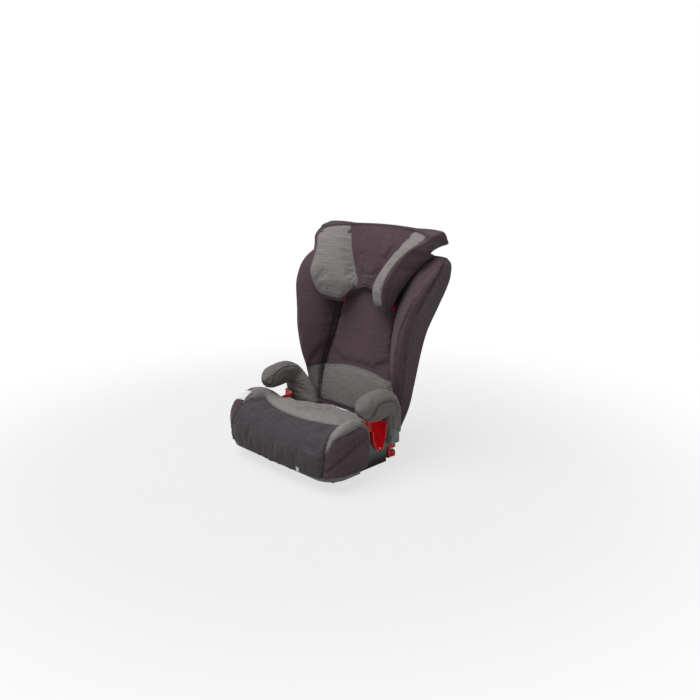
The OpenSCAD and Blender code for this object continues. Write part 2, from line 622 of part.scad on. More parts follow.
module adjuster_lever() {
    front = pivot_y - lever_t / 2;
    color(red) in_back() difference() {
        union() {
            box(-9, 9, front, front + lever_t, tooth_z - 10, stem_high + 12);
            box(-7, 7, shell_y + 3, front + 1, tooth_z - 2, tooth_z + 2);
            box(-32, 32, front - 1, front + lever_t + 2, stem_high - 16, stem_high + 16);
            translate([0, pivot_y, pivot_z]) rod_x(7, 9);
        }
        translate([0, pivot_y, pivot_z]) rod_x(pin_r + pin_gap, 20);
    }
}
module shoulder_guide(side) {
    top = head_low - soft_gap;
    color(red) in_back() mirrored(side) difference() {
        box(78, 124, -54, -45, top - 16, top);
        box(82, 120, -55, -44, top - 12.5, top - 3.5);
        box(98, 105, -55, -44, top - 17, top - 12);
    }
}
// Padded panel laid on a cover: row share v and column share u give its crown
function puff(u, v) = 0.12 + 0.88 * pow(sin(180 * u), 0.7) * pow(sin(180 * v), 0.7);
cheek_levels = [for (i = [1:len(head_levels) - 4]) head_levels[i]];
function cheek_rows(thick) = [for (r = [0:len(cheek_levels) - 1]) let (
    z = cheek_levels[r],
    a = wrap_half(head_section(z), -soft_gap),
    b = wrap_half(head_section(z), -soft_gap - thick))
    rim([for (c = [4:11]) mix(a[c], b[c], puff((c - 4) / 7, r / (len(cheek_levels) - 1)))], z)];
module cheek_pad(side) {
    color(light_grey) in_back() mirrored(side) sheet(cheek_rows(7), cheek_rows(0));
}
lumbar_levels = [back_low, 34, 60, 80, 100, 118, 130];
function lumbar_rows(thick) = [for (r = [0:len(lumbar_levels) - 1]) let (
    z = lumbar_levels[r],
    a = both_sides(pad_line(back_section(z), -soft_gap, 5)),
    rise = 22 * r / (len(lumbar_levels) - 1))
    [for (c = [0:len(a) - 1]) let (u = c / (len(a) - 1), lift_z = z + rise * sin(180 * u),
        s = back_section(lift_z), w = abs(a[c][0]) / s[4])
        [a[c][0], s[5] - 2 * soft_gap - s[7] * (1 - w * w)
            - thick * puff(u, r / (len(lumbar_levels) - 1)), lift_z]]];
module lumbar_pad() {
    color(light_grey) in_back() sheet(lumbar_rows(6), lumbar_rows(0));
}

module backrest_shell() {
    rib = 4;
    color(plastic) in_back() {
        sheet(back_rows(function(s) shell_half(s, cover_gap + back_wall)),
            back_rows(function(s) shell_half(s, cover_gap)), shell_middle, true, true);
        for (x = [-146, -104, 100, 142]) box(x, x + rib, shell_y - 1, shell_y + rib, 96, back_h - 60);
        for (z = [96, 232]) box(-146, 146, shell_y - 1, shell_y + rib, z, z + rib);
    }
}
module backrest_foam() {
    color(foam_white) in_back() sheet(back_rows(function(s) foam_half(s, cloth + soft_gap)),
        back_rows(function(s) shell_half(s, cover_gap + back_wall + soft_gap)),
        shell_middle, turn_b = true);
}
module backrest_cover() {
    levels = concat([back_hem], back_levels);
    color(plum) in_back() sheet(back_rows(function(s) wrap_half(s, 0), levels),
        back_rows(function(s) wrap_half(s, cloth), levels), wrap_middle);
}
module headrest_shell() {
    color(plastic) in_back() sheet(head_rows(function(s) shell_half(s, head_gap + back_wall)),
        head_rows(function(s) shell_half(s, head_gap)), shell_middle, true, true);
}
module headrest_foam() {
    color(foam_white) in_back() sheet(head_rows(function(s) foam_half(s, cloth + soft_gap)),
        head_rows(function(s) shell_half(s, head_gap + back_wall + soft_gap)),
        shell_middle, turn_b = true);
}
module headrest_cover() {
    color(plum) in_back() sheet(head_rows(function(s) wrap_half(s, 0)),
        head_rows(function(s) wrap_half(s, cloth)), wrap_middle);
}

seat_shell();
underside_cover();
hinge_axle();
seat_foam();
seat_cover();
armrest(-1);  // armrest_left
armrest(1);  // armrest_right
armrest_cover(-1);  // armrest_cover_left
armrest_cover(1);  // armrest_cover_right
lap_guide(-1);  // lap_guide_left
lap_guide(1);  // lap_guide_right
pawl_pin();
lock_pawl();
release_handle();
isofix_arm(-1);  // isofix_arm_left
isofix_arm(1);  // isofix_arm_right
isofix_jaw(-1);  // isofix_jaw_left
isofix_jaw(1);  // isofix_jaw_right
isofix_crossbar();
lock_strip();
latch_pin(-1);  // latch_pin_left
latch_pin(1);  // latch_pin_right
latch_hook(-1);  // latch_hook_left
latch_hook(1);  // latch_hook_right
isofix_button(-1);  // isofix_button_left
isofix_button(1);  // isofix_button_right
backrest_shell();
backrest_foam();
backrest_cover();
lumbar_pad();
hinge_hook(-1);  // hinge_hook_left
hinge_hook(1);  // hinge_hook_right
stem_rail(-1);  // stem_rail_left
stem_rail(1);  // stem_rail_right
height_rack();
headrest_shell();
headrest_foam();
headrest_cover();
cheek_pad(-1);  // cheek_pad_left
cheek_pad(1);  // cheek_pad_right
shoulder_guide(-1);  // shoulder_guide_left
shoulder_guide(1);  // shoulder_guide_right
headrest_stem();
lever_pin();
adjuster_lever();
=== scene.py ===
"""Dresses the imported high-back booster seat: padded covers, trims, finishes, floor, light and camera.

The shape tables are millimetres in the part's own frame, and every mesh is put down in metres.
"""

import json
import math

import bmesh
import bpy
import numpy as np
from bpy.props import FloatProperty, FloatVectorProperty, PointerProperty
from mathutils import Matrix, Vector


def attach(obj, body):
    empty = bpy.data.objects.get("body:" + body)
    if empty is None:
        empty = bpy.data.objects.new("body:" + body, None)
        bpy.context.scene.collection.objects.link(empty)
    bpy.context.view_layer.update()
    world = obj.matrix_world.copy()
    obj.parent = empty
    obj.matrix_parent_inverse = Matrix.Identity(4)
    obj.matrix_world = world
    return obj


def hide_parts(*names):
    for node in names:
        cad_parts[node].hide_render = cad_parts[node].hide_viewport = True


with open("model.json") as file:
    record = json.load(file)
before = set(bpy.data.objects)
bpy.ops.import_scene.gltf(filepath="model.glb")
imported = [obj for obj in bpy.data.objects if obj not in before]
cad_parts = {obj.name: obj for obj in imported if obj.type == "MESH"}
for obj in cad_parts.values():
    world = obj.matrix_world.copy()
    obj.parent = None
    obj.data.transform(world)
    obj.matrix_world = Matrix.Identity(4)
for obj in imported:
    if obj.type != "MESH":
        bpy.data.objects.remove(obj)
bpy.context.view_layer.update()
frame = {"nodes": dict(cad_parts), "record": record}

bl_info = {
    "name": "Booster Seat Looks",
    "version": (1, 0, 0),
    "blender": (4, 5, 0),
    "location": "3D View > Sidebar > Booster Seat",
    "description": "Padded covers, trims, finishes and studio of a high-back booster seat",
    "category": "Object",
}

# Recline axle and the lean of the backrest at rest
AXLE_Y, AXLE_Z = 118.0, 100.0
LEAN = math.radians(14)
# Radius of a winged section's rear corner, and how far the hard shell is set in from the cover
REAR_R = 19.0
SHELL_INSET = 7.8
# Settling cloth: frames, weave, and the depth in metres that it may sink into its foam
STEPS = 20
WEAVE = {"quality": 5, "mass": 0.3, "tension_stiffness": 15, "compression_stiffness": 15, "shear_stiffness": 5,
         "bending_stiffness": 0.5, "air_damping": 3}
SINK = 0.001
# Mark of a point with no seam near it
FAR = 99.0
# Length of a sewn stitch with its gap
STITCH = 4.2
SIDES = ("left", -1), ("right", 1)
# Studio, in metres: floor's half width, lamp, camera's place, its axes to the rear and to the right, and its lens
FLOOR_HALF = 30.0
LAMP_AT = -0.4, -0.9, 2.5
CAMERA_AT = 1.533, -1.439, 0.882
CAMERA_BACK, CAMERA_RIGHT = (0.6830, -0.6830, 0.2588), (0.7071, 0.7071, 0)
LENS_MM, SENSOR_MM = 39.09, 36.0


# ---------------------------------------------------------------- curves


def curve(table, key):
    """Smooth line through [key, value] pairs: a cubic on each span, whose end slopes are the chords
    between the neighbouring pairs."""
    x, y = np.array(table, float).T
    key = np.clip(np.asarray(key, float), x[0], x[-1])
    n = np.arange(len(x))
    low, high = np.maximum(n - 1, 0), np.minimum(n + 1, len(x) - 1)
    slope = (y[high] - y[low]) / (x[high] - x[low])
    i = np.clip(np.searchsorted(x, key) - 1, 0, len(x) - 2)
    w = x[i + 1] - x[i]
    t = (key - x[i]) / w
    d = y[i + 1] - y[i]
    return y[i] + t * (slope[i] * w * (1 - t) ** 2 + t * (d * (3 - 2 * t) - slope[i + 1] * w * (1 - t)))


def line(table, key):
    """Straight lines between [key, value] pairs."""
    x, y = np.array(table, float).T
    return np.interp(key, x, y)


def bell(t):
    """Bell curve, 1 at zero."""
    return np.exp(-np.square(t))


def step(t):
    """Smooth step from 0 to 1 as t goes from 0 to 1."""
    t = np.clip(t, 0, 1)
    return t * t * (3 - 2 * t)


def signed_power(v, e):
    """Power that keeps the sign, which squares up a circle."""
    return np.sign(v) * np.abs(v) ** e


def grid(*axes):
    """Points from their coordinates, spread to one shape."""
    return np.stack(np.broadcast_arrays(*axes), -1)


def mirrored(points, sign):
    """Turns right-hand points to the left where the sign is below zero."""
    return points * np.array([sign, 1, 1])


def leaned(points):
    """Backrest frame to the part's frame: turned back about the axle by the lean."""
    x, y, z = np.moveaxis(points, -1, 0)
    c, s = math.cos(LEAN), math.sin(LEAN)
    return grid(x, AXLE_Y + y * c + z * s, AXLE_Z - y * s + z * c)


def lengths(points, axis):
    """Running length of a grid along its rows (0) or columns (1), zero at the start."""
    d = np.linalg.norm(np.diff(points, axis=axis), axis=-1)
    zero = np.zeros_like(np.take(d, [0], axis))
    return np.concatenate([zero, np.cumsum(d, axis)], axis)


def raised(plan, z):
    """Adds the height of each row to a grid of plan points."""
    return np.concatenate([plan, np.broadcast_to(z[:, None, None], plan.shape[:2] + (1,))], -1)


def bowed(a, b, t, rise):
    """Straight from a to b over the shares t, bowed out sideways by the rise."""
    u = (b - a) / np.linalg.norm(b - a, axis=-1, keepdims=True)
    return a + (b - a) * t[:, None] + rise[..., None] * grid(u[..., 1], -u[..., 0])


def outward(points, closed=False):
    """Unit normals of a grid: column direction crossed with row direction."""
    if closed:
        along = np.roll(points, -1, 1) - np.roll(points, 1, 1)
    else:
        along = np.gradient(points, axis=1)
    n = np.cross(along, np.gradient(points, axis=0))
    return n / np.maximum(np.linalg.norm(n, axis=-1, keepdims=True), 1e-9)


def tucks(along, height, count, seed, depth, tall, wide):
    """Small gathers: count narrow bell-shaped grooves at seeded places along an edge, each leaning a little and
    fading with height above it. The depth, height and width of each are scaled by 0.55 to 1.35."""
    rng = np.random.default_rng(seed)
    places = np.linspace(along.min(), along.max(), count) + rng.uniform(-0.4, 0.4, count) * np.ptp(along) / count
    dent = np.zeros(np.broadcast(along, height).shape)
    for place, a, b, c, lean in zip(places, *rng.uniform(0.55, 1.35, (3, count)), rng.uniform(-0.3, 0.3, count)):
        dent -= depth * a * bell((along - place - lean * height) / (wide * c)) * bell(height / (tall * b))
    return dent


# ---------------------------------------------------------------- winged pads

# Tables of [height along the lean, millimetres]
WING_WIDTH = [[-6, 169], [60, 186], [130, 190], [230, 194], [290, 202], [366, 226.2], [435, 246],
              [475, 245], [489, 238], [497, 226]]
WING_FRONT = [[-6, -35], [60, -44], [100, -57], [150, -79], [200, -95], [250, -106], [350, -111],
              [407, -95], [445, -73], [475, -48], [489, -31], [497, -17]]
WING_SEAM = [[-6, 136], [130, 142], [234, 124], [347, 117], [430, 122], [497, 150]]
WING_EDGE = [[-6, 7], [60, 12], [130, 14], [250, 12], [430, 11], [477, 11], [497, 10]]
WING_FLARE = [[-6, -8], [60, -1], [100, 7], [150, 18], [230, 27], [366, 25], [435, 18], [467, 11], [497, 2]]
LUMBAR_CROWN = [[-6, 3], [70, 9], [130, 5], [220, 2], [330, 1], [497, 0]]
BACK_TOP, BACK_REAR, BACK_PAD = 497.0, 29.8, -26.0

HEAD_LOW, HEAD_TOP = 343.0, 578.0
HEAD_FRONT = [[343, -89], [350, -107], [363, -126], [383, -140], [408, -143], [450, -129], [487, -113],
              [506, -103], [525, -83], [550, -55], [568, -24], [578, -10]]
HEAD_WIDTH = [[343, 132], [363, 148], [393, 160], [450, 173], [487, 190], [525, 219], [558, 226], [578, 220]]
HEAD_BACK_WIDTH = [[343, 104], [403, 107], [447, 116], [497, 138], [500, 178], [542, 220], [560, 226], [578, 221]]
HEAD_REAR = [[343, -29], [497, -29], [500, 22], [564, 22], [578, 19]]
HEAD_SEAM = [[343, 26], [393, 36], [480, 82], [560, 120], [578, 124]]
HEAD_PAD = [[343, -49], [383, -49], [480, -45], [508, -41], [540, -32], [556, -27], [566, -22], [573, -14], [578, -5]]
HEAD_EDGE = [[343, 9], [373, 14], [430, 12], [487, 9], [528, 9], [578, 8]]
HEAD_SIDE = [[343, 8], [363, 20], [398, 34], [430, 43], [450, 49], [477, 56], [497, 64], [500, 27], [540, 0]]


def back_section(z):
    """Backrest section at heights z: front and rear half width, front, rear, seam half width, pad front,
    edge radius, crown of the pad, bulge of the wing's inner face and of its side."""
    width = curve(WING_WIDTH, z)
    return (width + curve(WING_FLARE, z), width, curve(WING_FRONT, z), np.full_like(z, BACK_REAR),
            curve(WING_SEAM, z), np.full_like(z, BACK_PAD), curve(WING_EDGE, z), curve(LUMBAR_CROWN, z),
            2 + 5 * bell((z - 280) / 170), 0 * z)


def head_section(z):
    """Headrest section at heights z, in the same order as the backrest's."""
    return (curve(HEAD_WIDTH, z), line(HEAD_BACK_WIDTH, z), curve(HEAD_FRONT, z), line(HEAD_REAR, z),
            curve(HEAD_SEAM, z), curve(HEAD_PAD, z), curve(HEAD_EDGE, z), np.full_like(z, 2.0), np.full_like(z, 4.0),
            line(HEAD_SIDE, z))


RIM_FALL, CORNER_LIFT, ARCH_RISE, LIP_DROP = 36, 25, 38, 17


def head_rim(points, z):
    """The rim falls towards its rear corners, whose underside rises to meet it. The lower edge
    arches up between the cheeks and hangs in a lip below them."""
    x, y, up = np.moveaxis(points, -1, 0)
    t = np.maximum(0, (z - 500) / 78)
    out, rear = (x / 216) ** 2, np.clip((y + 24) / 42, 0, 1)
    fall = t * rear * (0.36 + 0.64 * out)
    lift = step((z - 496) / 4) * np.maximum(0, 1 - t) * rear * out
    arch = np.maximum(0, 1 - (z - HEAD_LOW) / 75) * np.maximum(0, 1 - (x / 78) ** 2) ** 1.5
    lip = np.clip(1 - (z - HEAD_LOW) / 34, 0, 1) * step((-58 - y) / 8) * step((np.abs(x) - 40) / 30)
    return grid(x, y, up - RIM_FALL * fall + CORNER_LIFT * lift + ARCH_RISE * arch - LIP_DROP * lip)


def polar(angle):
    """Point of the unit circle at an angle."""
    return grid(np.cos(angle), np.sin(angle))


def wrap_half(section, inset, counts):
    """Right half of a winged section: along the crowned pad to the seam, straight but bulged up the wing's
    inner face to its edge circle, round that circle, back along the side, whose belly is fullest a third of the
    way, and round the rear corner."""
    w, r, f, b, m, p, e, crown, bulge, belly = (v[:, None] for v in section)
    n_pad, n_face, n_edge, n_side, n_corner = counts
    centre = grid(w - e, f + e)
    corner = grid(r - REAR_R, b - REAR_R)
    seam = grid(m, p + inset)
    radius = np.maximum(e - inset, 0.3)
    d = centre - seam
    start = np.arctan2(d[..., 1], d[..., 0]) + math.pi + np.arccos(radius / np.linalg.norm(d, axis=-1))
    t = np.arange(n_pad) / n_pad
    pad = grid(m * t, p + inset - crown * (1 - t * t))
    end = centre + radius[..., None] * polar(start)
    t = np.arange(n_face) / n_face
    face = bowed(seam, end, t, 4 * bulge * t * (1 - t))
    a = start + (math.radians(350) - start) * np.linspace(0, 1, n_edge)
    edge = centre + radius[..., None] * polar(a)
    t = (np.arange(n_side) + 1) / (n_side + 1)
    side_a = centre + grid(radius, 0 * e)
    side_b = corner + np.array([REAR_R - inset, 0])
    side = bowed(side_a, side_b, t, 6.75 * belly * t * (1 - t) ** 2)
    rear = corner + (REAR_R - inset) * polar(np.radians(np.linspace(0, 80, n_corner)))
    return np.concatenate([pad, face, edge, side, np.broadcast_to(rear, (len(w), n_corner, 2))], 1)


def both_sides(half):
    """Mirrors a half section to the left and joins the two at the middle."""
    return np.concatenate([half[:, :0:-1] * np.array([-1, 1]), half], 1)


def shell_line(section, counts):
    """Inner line of the hard shell that the end of a pad closes onto, with one point for each column of the
    wrap: across the back, round the rear corner and up the wing to its edge, then along the side."""
    n_pad, n_face, n_edge = counts[:3]
    wrap = wrap_half(section, SHELL_INSET, counts)[0]
    w, r, f, b, _, _, e = (v[0] for v in section[:7])
    corner = np.array([r - REAR_R, b - REAR_R])
    tip = np.array([w - e, f + e])
    bend = corner + (REAR_R - SHELL_INSET) * polar(np.radians(np.linspace(80, 0, 9)))
    path = np.concatenate([[[0, b - SHELL_INSET]], bend, [tip + [1, 0]], [tip]])
    run = lengths(path[None], 1)[0]
    front = lengths(wrap[None, :n_pad + n_face], 1)[0]
    want = front / front[-1] * run[-1]
    inner = np.stack([np.interp(want, run, path[:, k]) for k in (0, 1)], -1)
    t = np.linspace(0, 1, n_edge)[:, None]
    edge = tip + (wrap[n_pad + n_face + n_edge] - tip) * t
    return np.concatenate([inner, edge, wrap[n_pad + n_face + n_edge:]])


def winged_pad(section, levels, counts, domes):
    """Grid of a winged pad: its sections stacked up the levels, and each end closed over to the hard shell
    by a low dome of the given height. Returns the points, the level of each row and the number of cap rows."""
    body = raised(both_sides(wrap_half(section(levels), 0.0, counts)), levels)
    share = np.array([0.03, 0.1, 0.22, 0.42, 0.7, 1.0])
    lift = np.array([0.5, 0.8, 1.0, 1.0, 0.9, 0.6])
    ends = []
    for level, row, dome in ((levels[:1], body[0], -domes[0]), (levels[-1:], body[-1], domes[1])):
        target = both_sides(shell_line(section(level), counts)[None])[0]
        cap = row[None, :, :2] + (target - row[:, :2])[None] * share[:, None, None]
        ends.append(raised(cap, level + dome * lift))
    points = np.concatenate([ends[0][::-1], body, ends[1]])
    rows = np.concatenate([np.full(share.size, levels[0]), levels, np.full(share.size, levels[-1])])
    return points, rows, share.size


def pad_map(points, z, caps, fade):
    """Map of a winged pad: length across from its middle line, columns from the middle, height, and the fade up
    its body, which is nothing on the end caps."""
    rows, cols = points.shape[:2]
    across = lengths(points, 1)
    across = across - across[:, cols // 2, None]
    column = np.abs(np.arange(cols) - cols // 2)[None]
    return across, column, np.broadcast_to(z[:, None], (rows, cols)), np.pad(fade, caps)[:, None]


def back_plate(section, levels, inset):
    """Hard back of a winged pad: from its side round the rear corner and straight across the back, set in from
    the cover by the inset."""
    r, b = section(levels)[1][:, None], section(levels)[3][:, None]
    quarter = polar(np.radians(np.linspace(0, 90, 12)))
    turn = grid(r - REAR_R, b - REAR_R) + (REAR_R - inset) * quarter
    side = turn[:, :1] + grid(np.zeros(4), np.linspace(-10, -3, 4))
    x = turn[:, -1:, 0] * np.linspace(1, 0, 30)[1:]
    half = np.concatenate([side, turn, grid(x, turn[:, -1:, 1])], 1)
    return raised(np.concatenate([half, half[:, -2::-1] * np.array([-1, 1])], 1), levels)


# ---------------------------------------------------------------- meshes


def put_mesh(name, points, uv=None, marks=None, closed=False, flip=False):
    """Mesh object from a grid of points in millimetres, with a quad between neighbouring rows and columns.
    Points that meet, such as at a pole, are joined. Marks are values kept on the points."""
    rows, cols = points.shape[:2]

    def quads(index):
        q = grid(index[:-1, :-1], index[:-1, 1:], index[1:, 1:], index[1:, :-1]).reshape(-1, 4)
        return q[:, ::-1] if flip else q

    index = np.arange(rows * cols).reshape(rows, cols)
    faces = quads(np.concatenate([index, index[:, :1]], 1) if closed else index)
    mesh = bpy.data.meshes.new(name)
    mesh.from_pydata((points.reshape(-1, 3) / 1000).tolist(), [], faces.tolist())
    if uv is not None:
        corners = quads(np.arange(uv.shape[0] * uv.shape[1]).reshape(uv.shape[:2])).ravel()
        layer = mesh.uv_layers.new(name="cloth")
        layer.data.foreach_set("uv", (uv.reshape(-1, 2)[corners] / 1000).astype(np.float32).ravel())
    for key, value in (marks or {}).items():
        value = np.broadcast_to(value, (rows, cols)).astype(np.float32).ravel()
        mesh.attributes.new(key, "FLOAT", "POINT").data.foreach_set("value", value)
    bm = bmesh.new()
    bm.from_mesh(mesh)
    bmesh.ops.remove_doubles(bm, verts=bm.verts, dist=2e-6)
    bmesh.ops.dissolve_degenerate(bm, edges=bm.edges, dist=1e-7)
    bm.to_mesh(mesh)
    bm.free()
    mesh.shade_smooth()
    piece = bpy.data.objects.new(name, mesh)
    bpy.context.scene.collection.objects.link(piece)
    return piece


def get_points(mesh):
    """Places of a mesh's points, in metres."""
    co = np.empty(len(mesh.vertices) * 3, np.float32)
    mesh.vertices.foreach_get("co", co)
    return co.reshape(-1, 3)


def get_normals(mesh):
    """Outward direction at each point of a mesh."""
    normal = np.empty(len(mesh.vertices) * 3, np.float32)
    mesh.vertex_normals.foreach_get("vector", normal)
    return normal.reshape(-1, 3)


def get_mark(mesh, key):
    """Value kept on each point of a mesh under a key."""
    value = np.empty(len(mesh.vertices), np.float32)
    mesh.attributes[key].data.foreach_get("value", value)
    return value


def held(shape, *parts):
    """Hold mark of a grid: the largest of its parts, each from 0 to 1."""
    return np.maximum.reduce([np.broadcast_to(np.asarray(part, float), shape) for part in parts])


def settle(piece, slack, pressure, cap):
    """Cloth simulation: the skin, cut larger by the slack and filled by the pressure, settles in STEPS frames
    while the points marked hold stay put. No point ends further than cap metres from its start, or
    sinks more than SINK metres into the foam."""
    mesh = piece.data
    start, normal = get_points(mesh), get_normals(mesh)
    hold = np.round(get_mark(mesh, "hold"), 1)
    group = piece.vertex_groups.new(name="hold")
    for level in np.unique(hold[hold > 0]):
        group.add(np.flatnonzero(hold == level).tolist(), float(level), "REPLACE")
    cloth = piece.modifiers.new("settle", "CLOTH")
    for key, value in WEAVE.items():
        setattr(cloth.settings, key, value)
    cloth.settings.vertex_group_mass = group.name
    cloth.settings.shrink_min = -slack
    cloth.settings.use_pressure = True
    cloth.settings.uniform_pressure_force = pressure
    cloth.settings.effector_weights.gravity = 0
    cloth.point_cache.frame_start, cloth.point_cache.frame_end = 1, STEPS
    scene = bpy.context.scene
    for number in range(1, STEPS + 1):
        scene.frame_set(number)
    made = piece.evaluated_get(bpy.context.evaluated_depsgraph_get())
    move = get_points(made.to_mesh()) - start
    made.to_mesh_clear()
    move *= np.minimum(1, cap / np.maximum(np.linalg.norm(move, axis=1, keepdims=True), 1e-9))
    sunk = -(move * normal).sum(1, keepdims=True)
    move += normal * np.maximum(0, sunk - SINK)
    piece.modifiers.remove(cloth)
    piece.vertex_groups.remove(group)
    scene.frame_set(1)
    mesh.vertices.foreach_set("co", (start + move).ravel())
    mesh.update()


def press(piece):
    """Moves each point along its normal by its dent mark, in millimetres, and drops the working marks."""
    mesh = piece.data
    co = get_points(mesh) + get_normals(mesh) * get_mark(mesh, "dent")[:, None] / 1000
    mesh.vertices.foreach_set("co", co.ravel())
    for key in ("dent", "hold"):
        mesh.attributes.remove(mesh.attributes[key])
    mesh.update()


def upholster(piece, slack, pressure, cap):
    """Settles a skin, presses in its seams and rounds it by a subdivision surface."""
    settle(piece, slack, pressure, cap)
    press(piece)
    smooth = piece.modifiers.new("rounded", "SUBSURF")
    smooth.levels = smooth.render_levels = 1
    smooth.uv_smooth = "PRESERVE_BOUNDARIES"


def dress(piece, body, slot, material, *nodes):
    """Gives a piece its finish, the body it rides on and the solids it stands for. The slot is not used."""
    piece.data.materials.append(material)
    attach(piece, body)
    if nodes:
        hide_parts(*nodes)


# ---------------------------------------------------------------- finishes


def fill(node, sockets):
    """Fills a node's sockets with values or links."""
    for key, value in sockets.items():
        if isinstance(value, bpy.types.NodeSocket):
            node.id_data.links.new(value, node.inputs[key])
        else:
            node.inputs[key].default_value = value


def wire(tree, kind, sockets=None, output=0, **settings):
    """Adds a node with its settings and sockets, and returns one of its outputs."""
    node = tree.nodes.new(kind)
    for key, value in settings.items():
        setattr(node, key, value)
    fill(node, sockets or {})
    return node.outputs[output]


def blank(name):
    """New finish with its node tree and its surface shader."""
    material = bpy.data.materials.new(name)
    material.use_nodes = True
    tree = material.node_tree
    shader = tree.nodes["Principled BSDF"]
    return material, tree, shader


def linear(colour):
    """Screen colour, 0 to 1, to scene light."""
    c = np.array(colour[:3], float)
    return (*np.where(c <= 0.04045, c / 12.92, ((c + 0.055) / 1.055) ** 2.4), 1.0)


def darker(colour, share):
    """Screen colour times a share."""
    return [c * share for c in colour]


def shade_of(colour, share, more=0.0):
    """Screen colour to scene light, made lighter or darker."""
    return (*np.minimum(np.array(linear(colour)[:3]) * share + more, 1), 1.0)


def tint(tree, factor, a, b, mode="MIX"):
    """Colour mix; a and b are colours or links."""
    return wire(tree, "ShaderNodeMix", {0: factor, 6: a, 7: b}, 2, data_type="RGBA", blend_type=mode)


def ramp(tree, value, low, high, start=0.0, stop=1.0):
    """Goes from low to high as the value goes from start to stop."""
    sockets = {"Value": value, "From Min": start, "From Max": stop, "To Min": low, "To Max": high}
    return wire(tree, "ShaderNodeMapRange", sockets)


def within(tree, value, low, high):
    """1 where the value is under low, falling to 0 at high."""
    return ramp(tree, value, 1.0, 0.0, low, high)


def math_node(tree, kind, a, b=0.0):
    """Sum, product or other operation on two values or links."""
    return wire(tree, "ShaderNodeMath", {0: a, 1: b}, operation=kind)


def noise(tree, place, scale, detail, rough=0.5, **settings):
    """Cloudy pattern from 0 to 1, with scale spots to the unit."""
    sockets = {"Vector": place, "Scale": scale, "Detail": detail, "Roughness": rough}
    return wire(tree, "ShaderNodeTexNoise", sockets, **settings)


def stretched(tree, place, scale):
    """Coordinates times a scale on each axis."""
    return wire(tree, "ShaderNodeMapping", {"Vector": place, "Scale": scale})


def relief(tree, strength, distance, height):
    """Surface direction tilted by a height pattern that is a distance in metres deep."""
    return wire(tree, "ShaderNodeBump", {"Strength": strength, "Distance": distance, "Height": height})


def cloth_finish(name, ground, panels=(), slub=0.16, thread=None):
    """Woven cloth on the piece's own map. Threads are noise drawn out along and across the weave, with
    thicker slubs lengthwise. A panel's colour shows where its mark is above zero. The mark seam is the
    distance from the nearest seam, where painted shade darkens the cloth in a soft band and a dark line in the
    groove, and stitch and run place the thread stitches."""
    material, tree, shader = blank(name)
    place = wire(tree, "ShaderNodeUVMap", uv_map="cloth")

    def drawn(along, across, detail):
        """Noise whose spots are so many millimetres along and across the weave."""
        scaled = stretched(tree, place, (1000 / along, 1000 / across, 1.0))
        return noise(tree, scaled, 1.0, detail, 0.6, noise_dimensions="2D")

    def mark(key):
        return wire(tree, "ShaderNodeAttribute", None, "Fac", attribute_name=key)

    def times(a, b):
        return math_node(tree, "MULTIPLY", a, b)

    weft, warp, slubs = drawn(14.0, 0.9, 2.0), drawn(0.9, 9.0, 2.0), drawn(60.0, 2.6, 3.0)
    broad = drawn(90.0, 70.0, 3.0)
    colour = linear(ground)
    for key, panel in panels:
        colour = tint(tree, ramp(tree, mark(key), 0.0, 1.0, -0.25, 0.25), colour, linear(panel))
    grain = math_node(tree, "ADD", times(weft, 0.55), times(warp, 0.45))
    seam = math_node(tree, "ABSOLUTE", mark("seam"))
    shade = ramp(tree, grain, 0.84, 1.13, 0.3, 0.7)
    shade = times(shade, ramp(tree, slubs, 1 - slub, 1 + slub * 0.8, 0.3, 0.7))
    shade = times(shade, ramp(tree, broad, 0.95, 1.05, 0.3, 0.7))
    # Painted shade along the seams: a soft band out to 11 mm, then a dark line in the groove.
    shade = times(shade, ramp(tree, within(tree, seam, 1.0, 11.0), 1.0, 0.8))
    shade = times(shade, ramp(tree, within(tree, seam, 0.6, 2.2), 1.0, 0.42))
    grey = wire(tree, "ShaderNodeCombineColor", {0: shade, 1: shade, 2: shade})
    colour = tint(tree, 1.0, colour, grey, "MULTIPLY")
    dash = within(tree, math_node(tree, "FRACT", math_node(tree, "DIVIDE", mark("run"), STITCH)), 0.62, 0.7)
    sewn = times(dash, within(tree, math_node(tree, "ABSOLUTE", mark("stitch")), 0.35, 0.6))
    colour = tint(tree, sewn, colour, linear(thread or darker(ground, 0.8)))
    height = math_node(tree, "ADD", grain, times(slubs, 0.7))
    height = math_node(tree, "ADD", height, times(sewn, 0.8))
    fill(shader, {"Base Color": colour, "Normal": relief(tree, 0.5, 0.0007, height),
                  "Roughness": ramp(tree, grain, 0.98, 0.78), "Specular IOR Level": 0.2,
                  "Sheen Weight": 0.1, "Sheen Roughness": 0.45})
    return material


def moulded_finish(name, colour, gloss, grain=0.00025, coat=0.0, foot=0.0):
    """Moulded plastic: fine spark grain in the bump, slow drift of colour and roughness, paler rubbed edges
    where the surface turns sharply, and painted shade that darkens the foot up to a height in metres, in place of
    the shadow under the seat."""
    material, tree, shader = blank(name)
    place = wire(tree, "ShaderNodeTexCoord", None, "Object")
    fine, slow = noise(tree, place, 1500.0, 2.0), noise(tree, place, 14.0, 4.0)
    ridge = ramp(tree, wire(tree, "ShaderNodeNewGeometry", None, "Pointiness"), 0.0, 0.35, 0.53, 0.6)
    drift = tint(tree, slow, shade_of(colour, 0.9), shade_of(colour, 1.1))
    rubbed_and_painted_shade = tint(tree, ridge, drift, shade_of(colour, 1.6, 0.02))
    # Painted shade: below the foot height the colour darkens to 0.22 of the plastic, in place of the shadow under the
    # seat's hem.
    if foot:
        low = wire(tree, "ShaderNodeSeparateXYZ", {0: place}, 2)
        low = math_node(tree, "ADD", low, math_node(tree, "MULTIPLY", slow, 0.4 * foot))
        rubbed_and_painted_shade = tint(tree, within(tree, low, 0.5 * foot, 1.4 * foot), rubbed_and_painted_shade, shade_of(colour, 0.22))
    fill(shader, {"Base Color": rubbed_and_painted_shade, "Roughness": ramp(tree, slow, gloss - 0.06, gloss + 0.08),
                  "Normal": relief(tree, 0.25, grain, fine), "Coat Weight": coat, "Coat Roughness": 0.12})
    return material


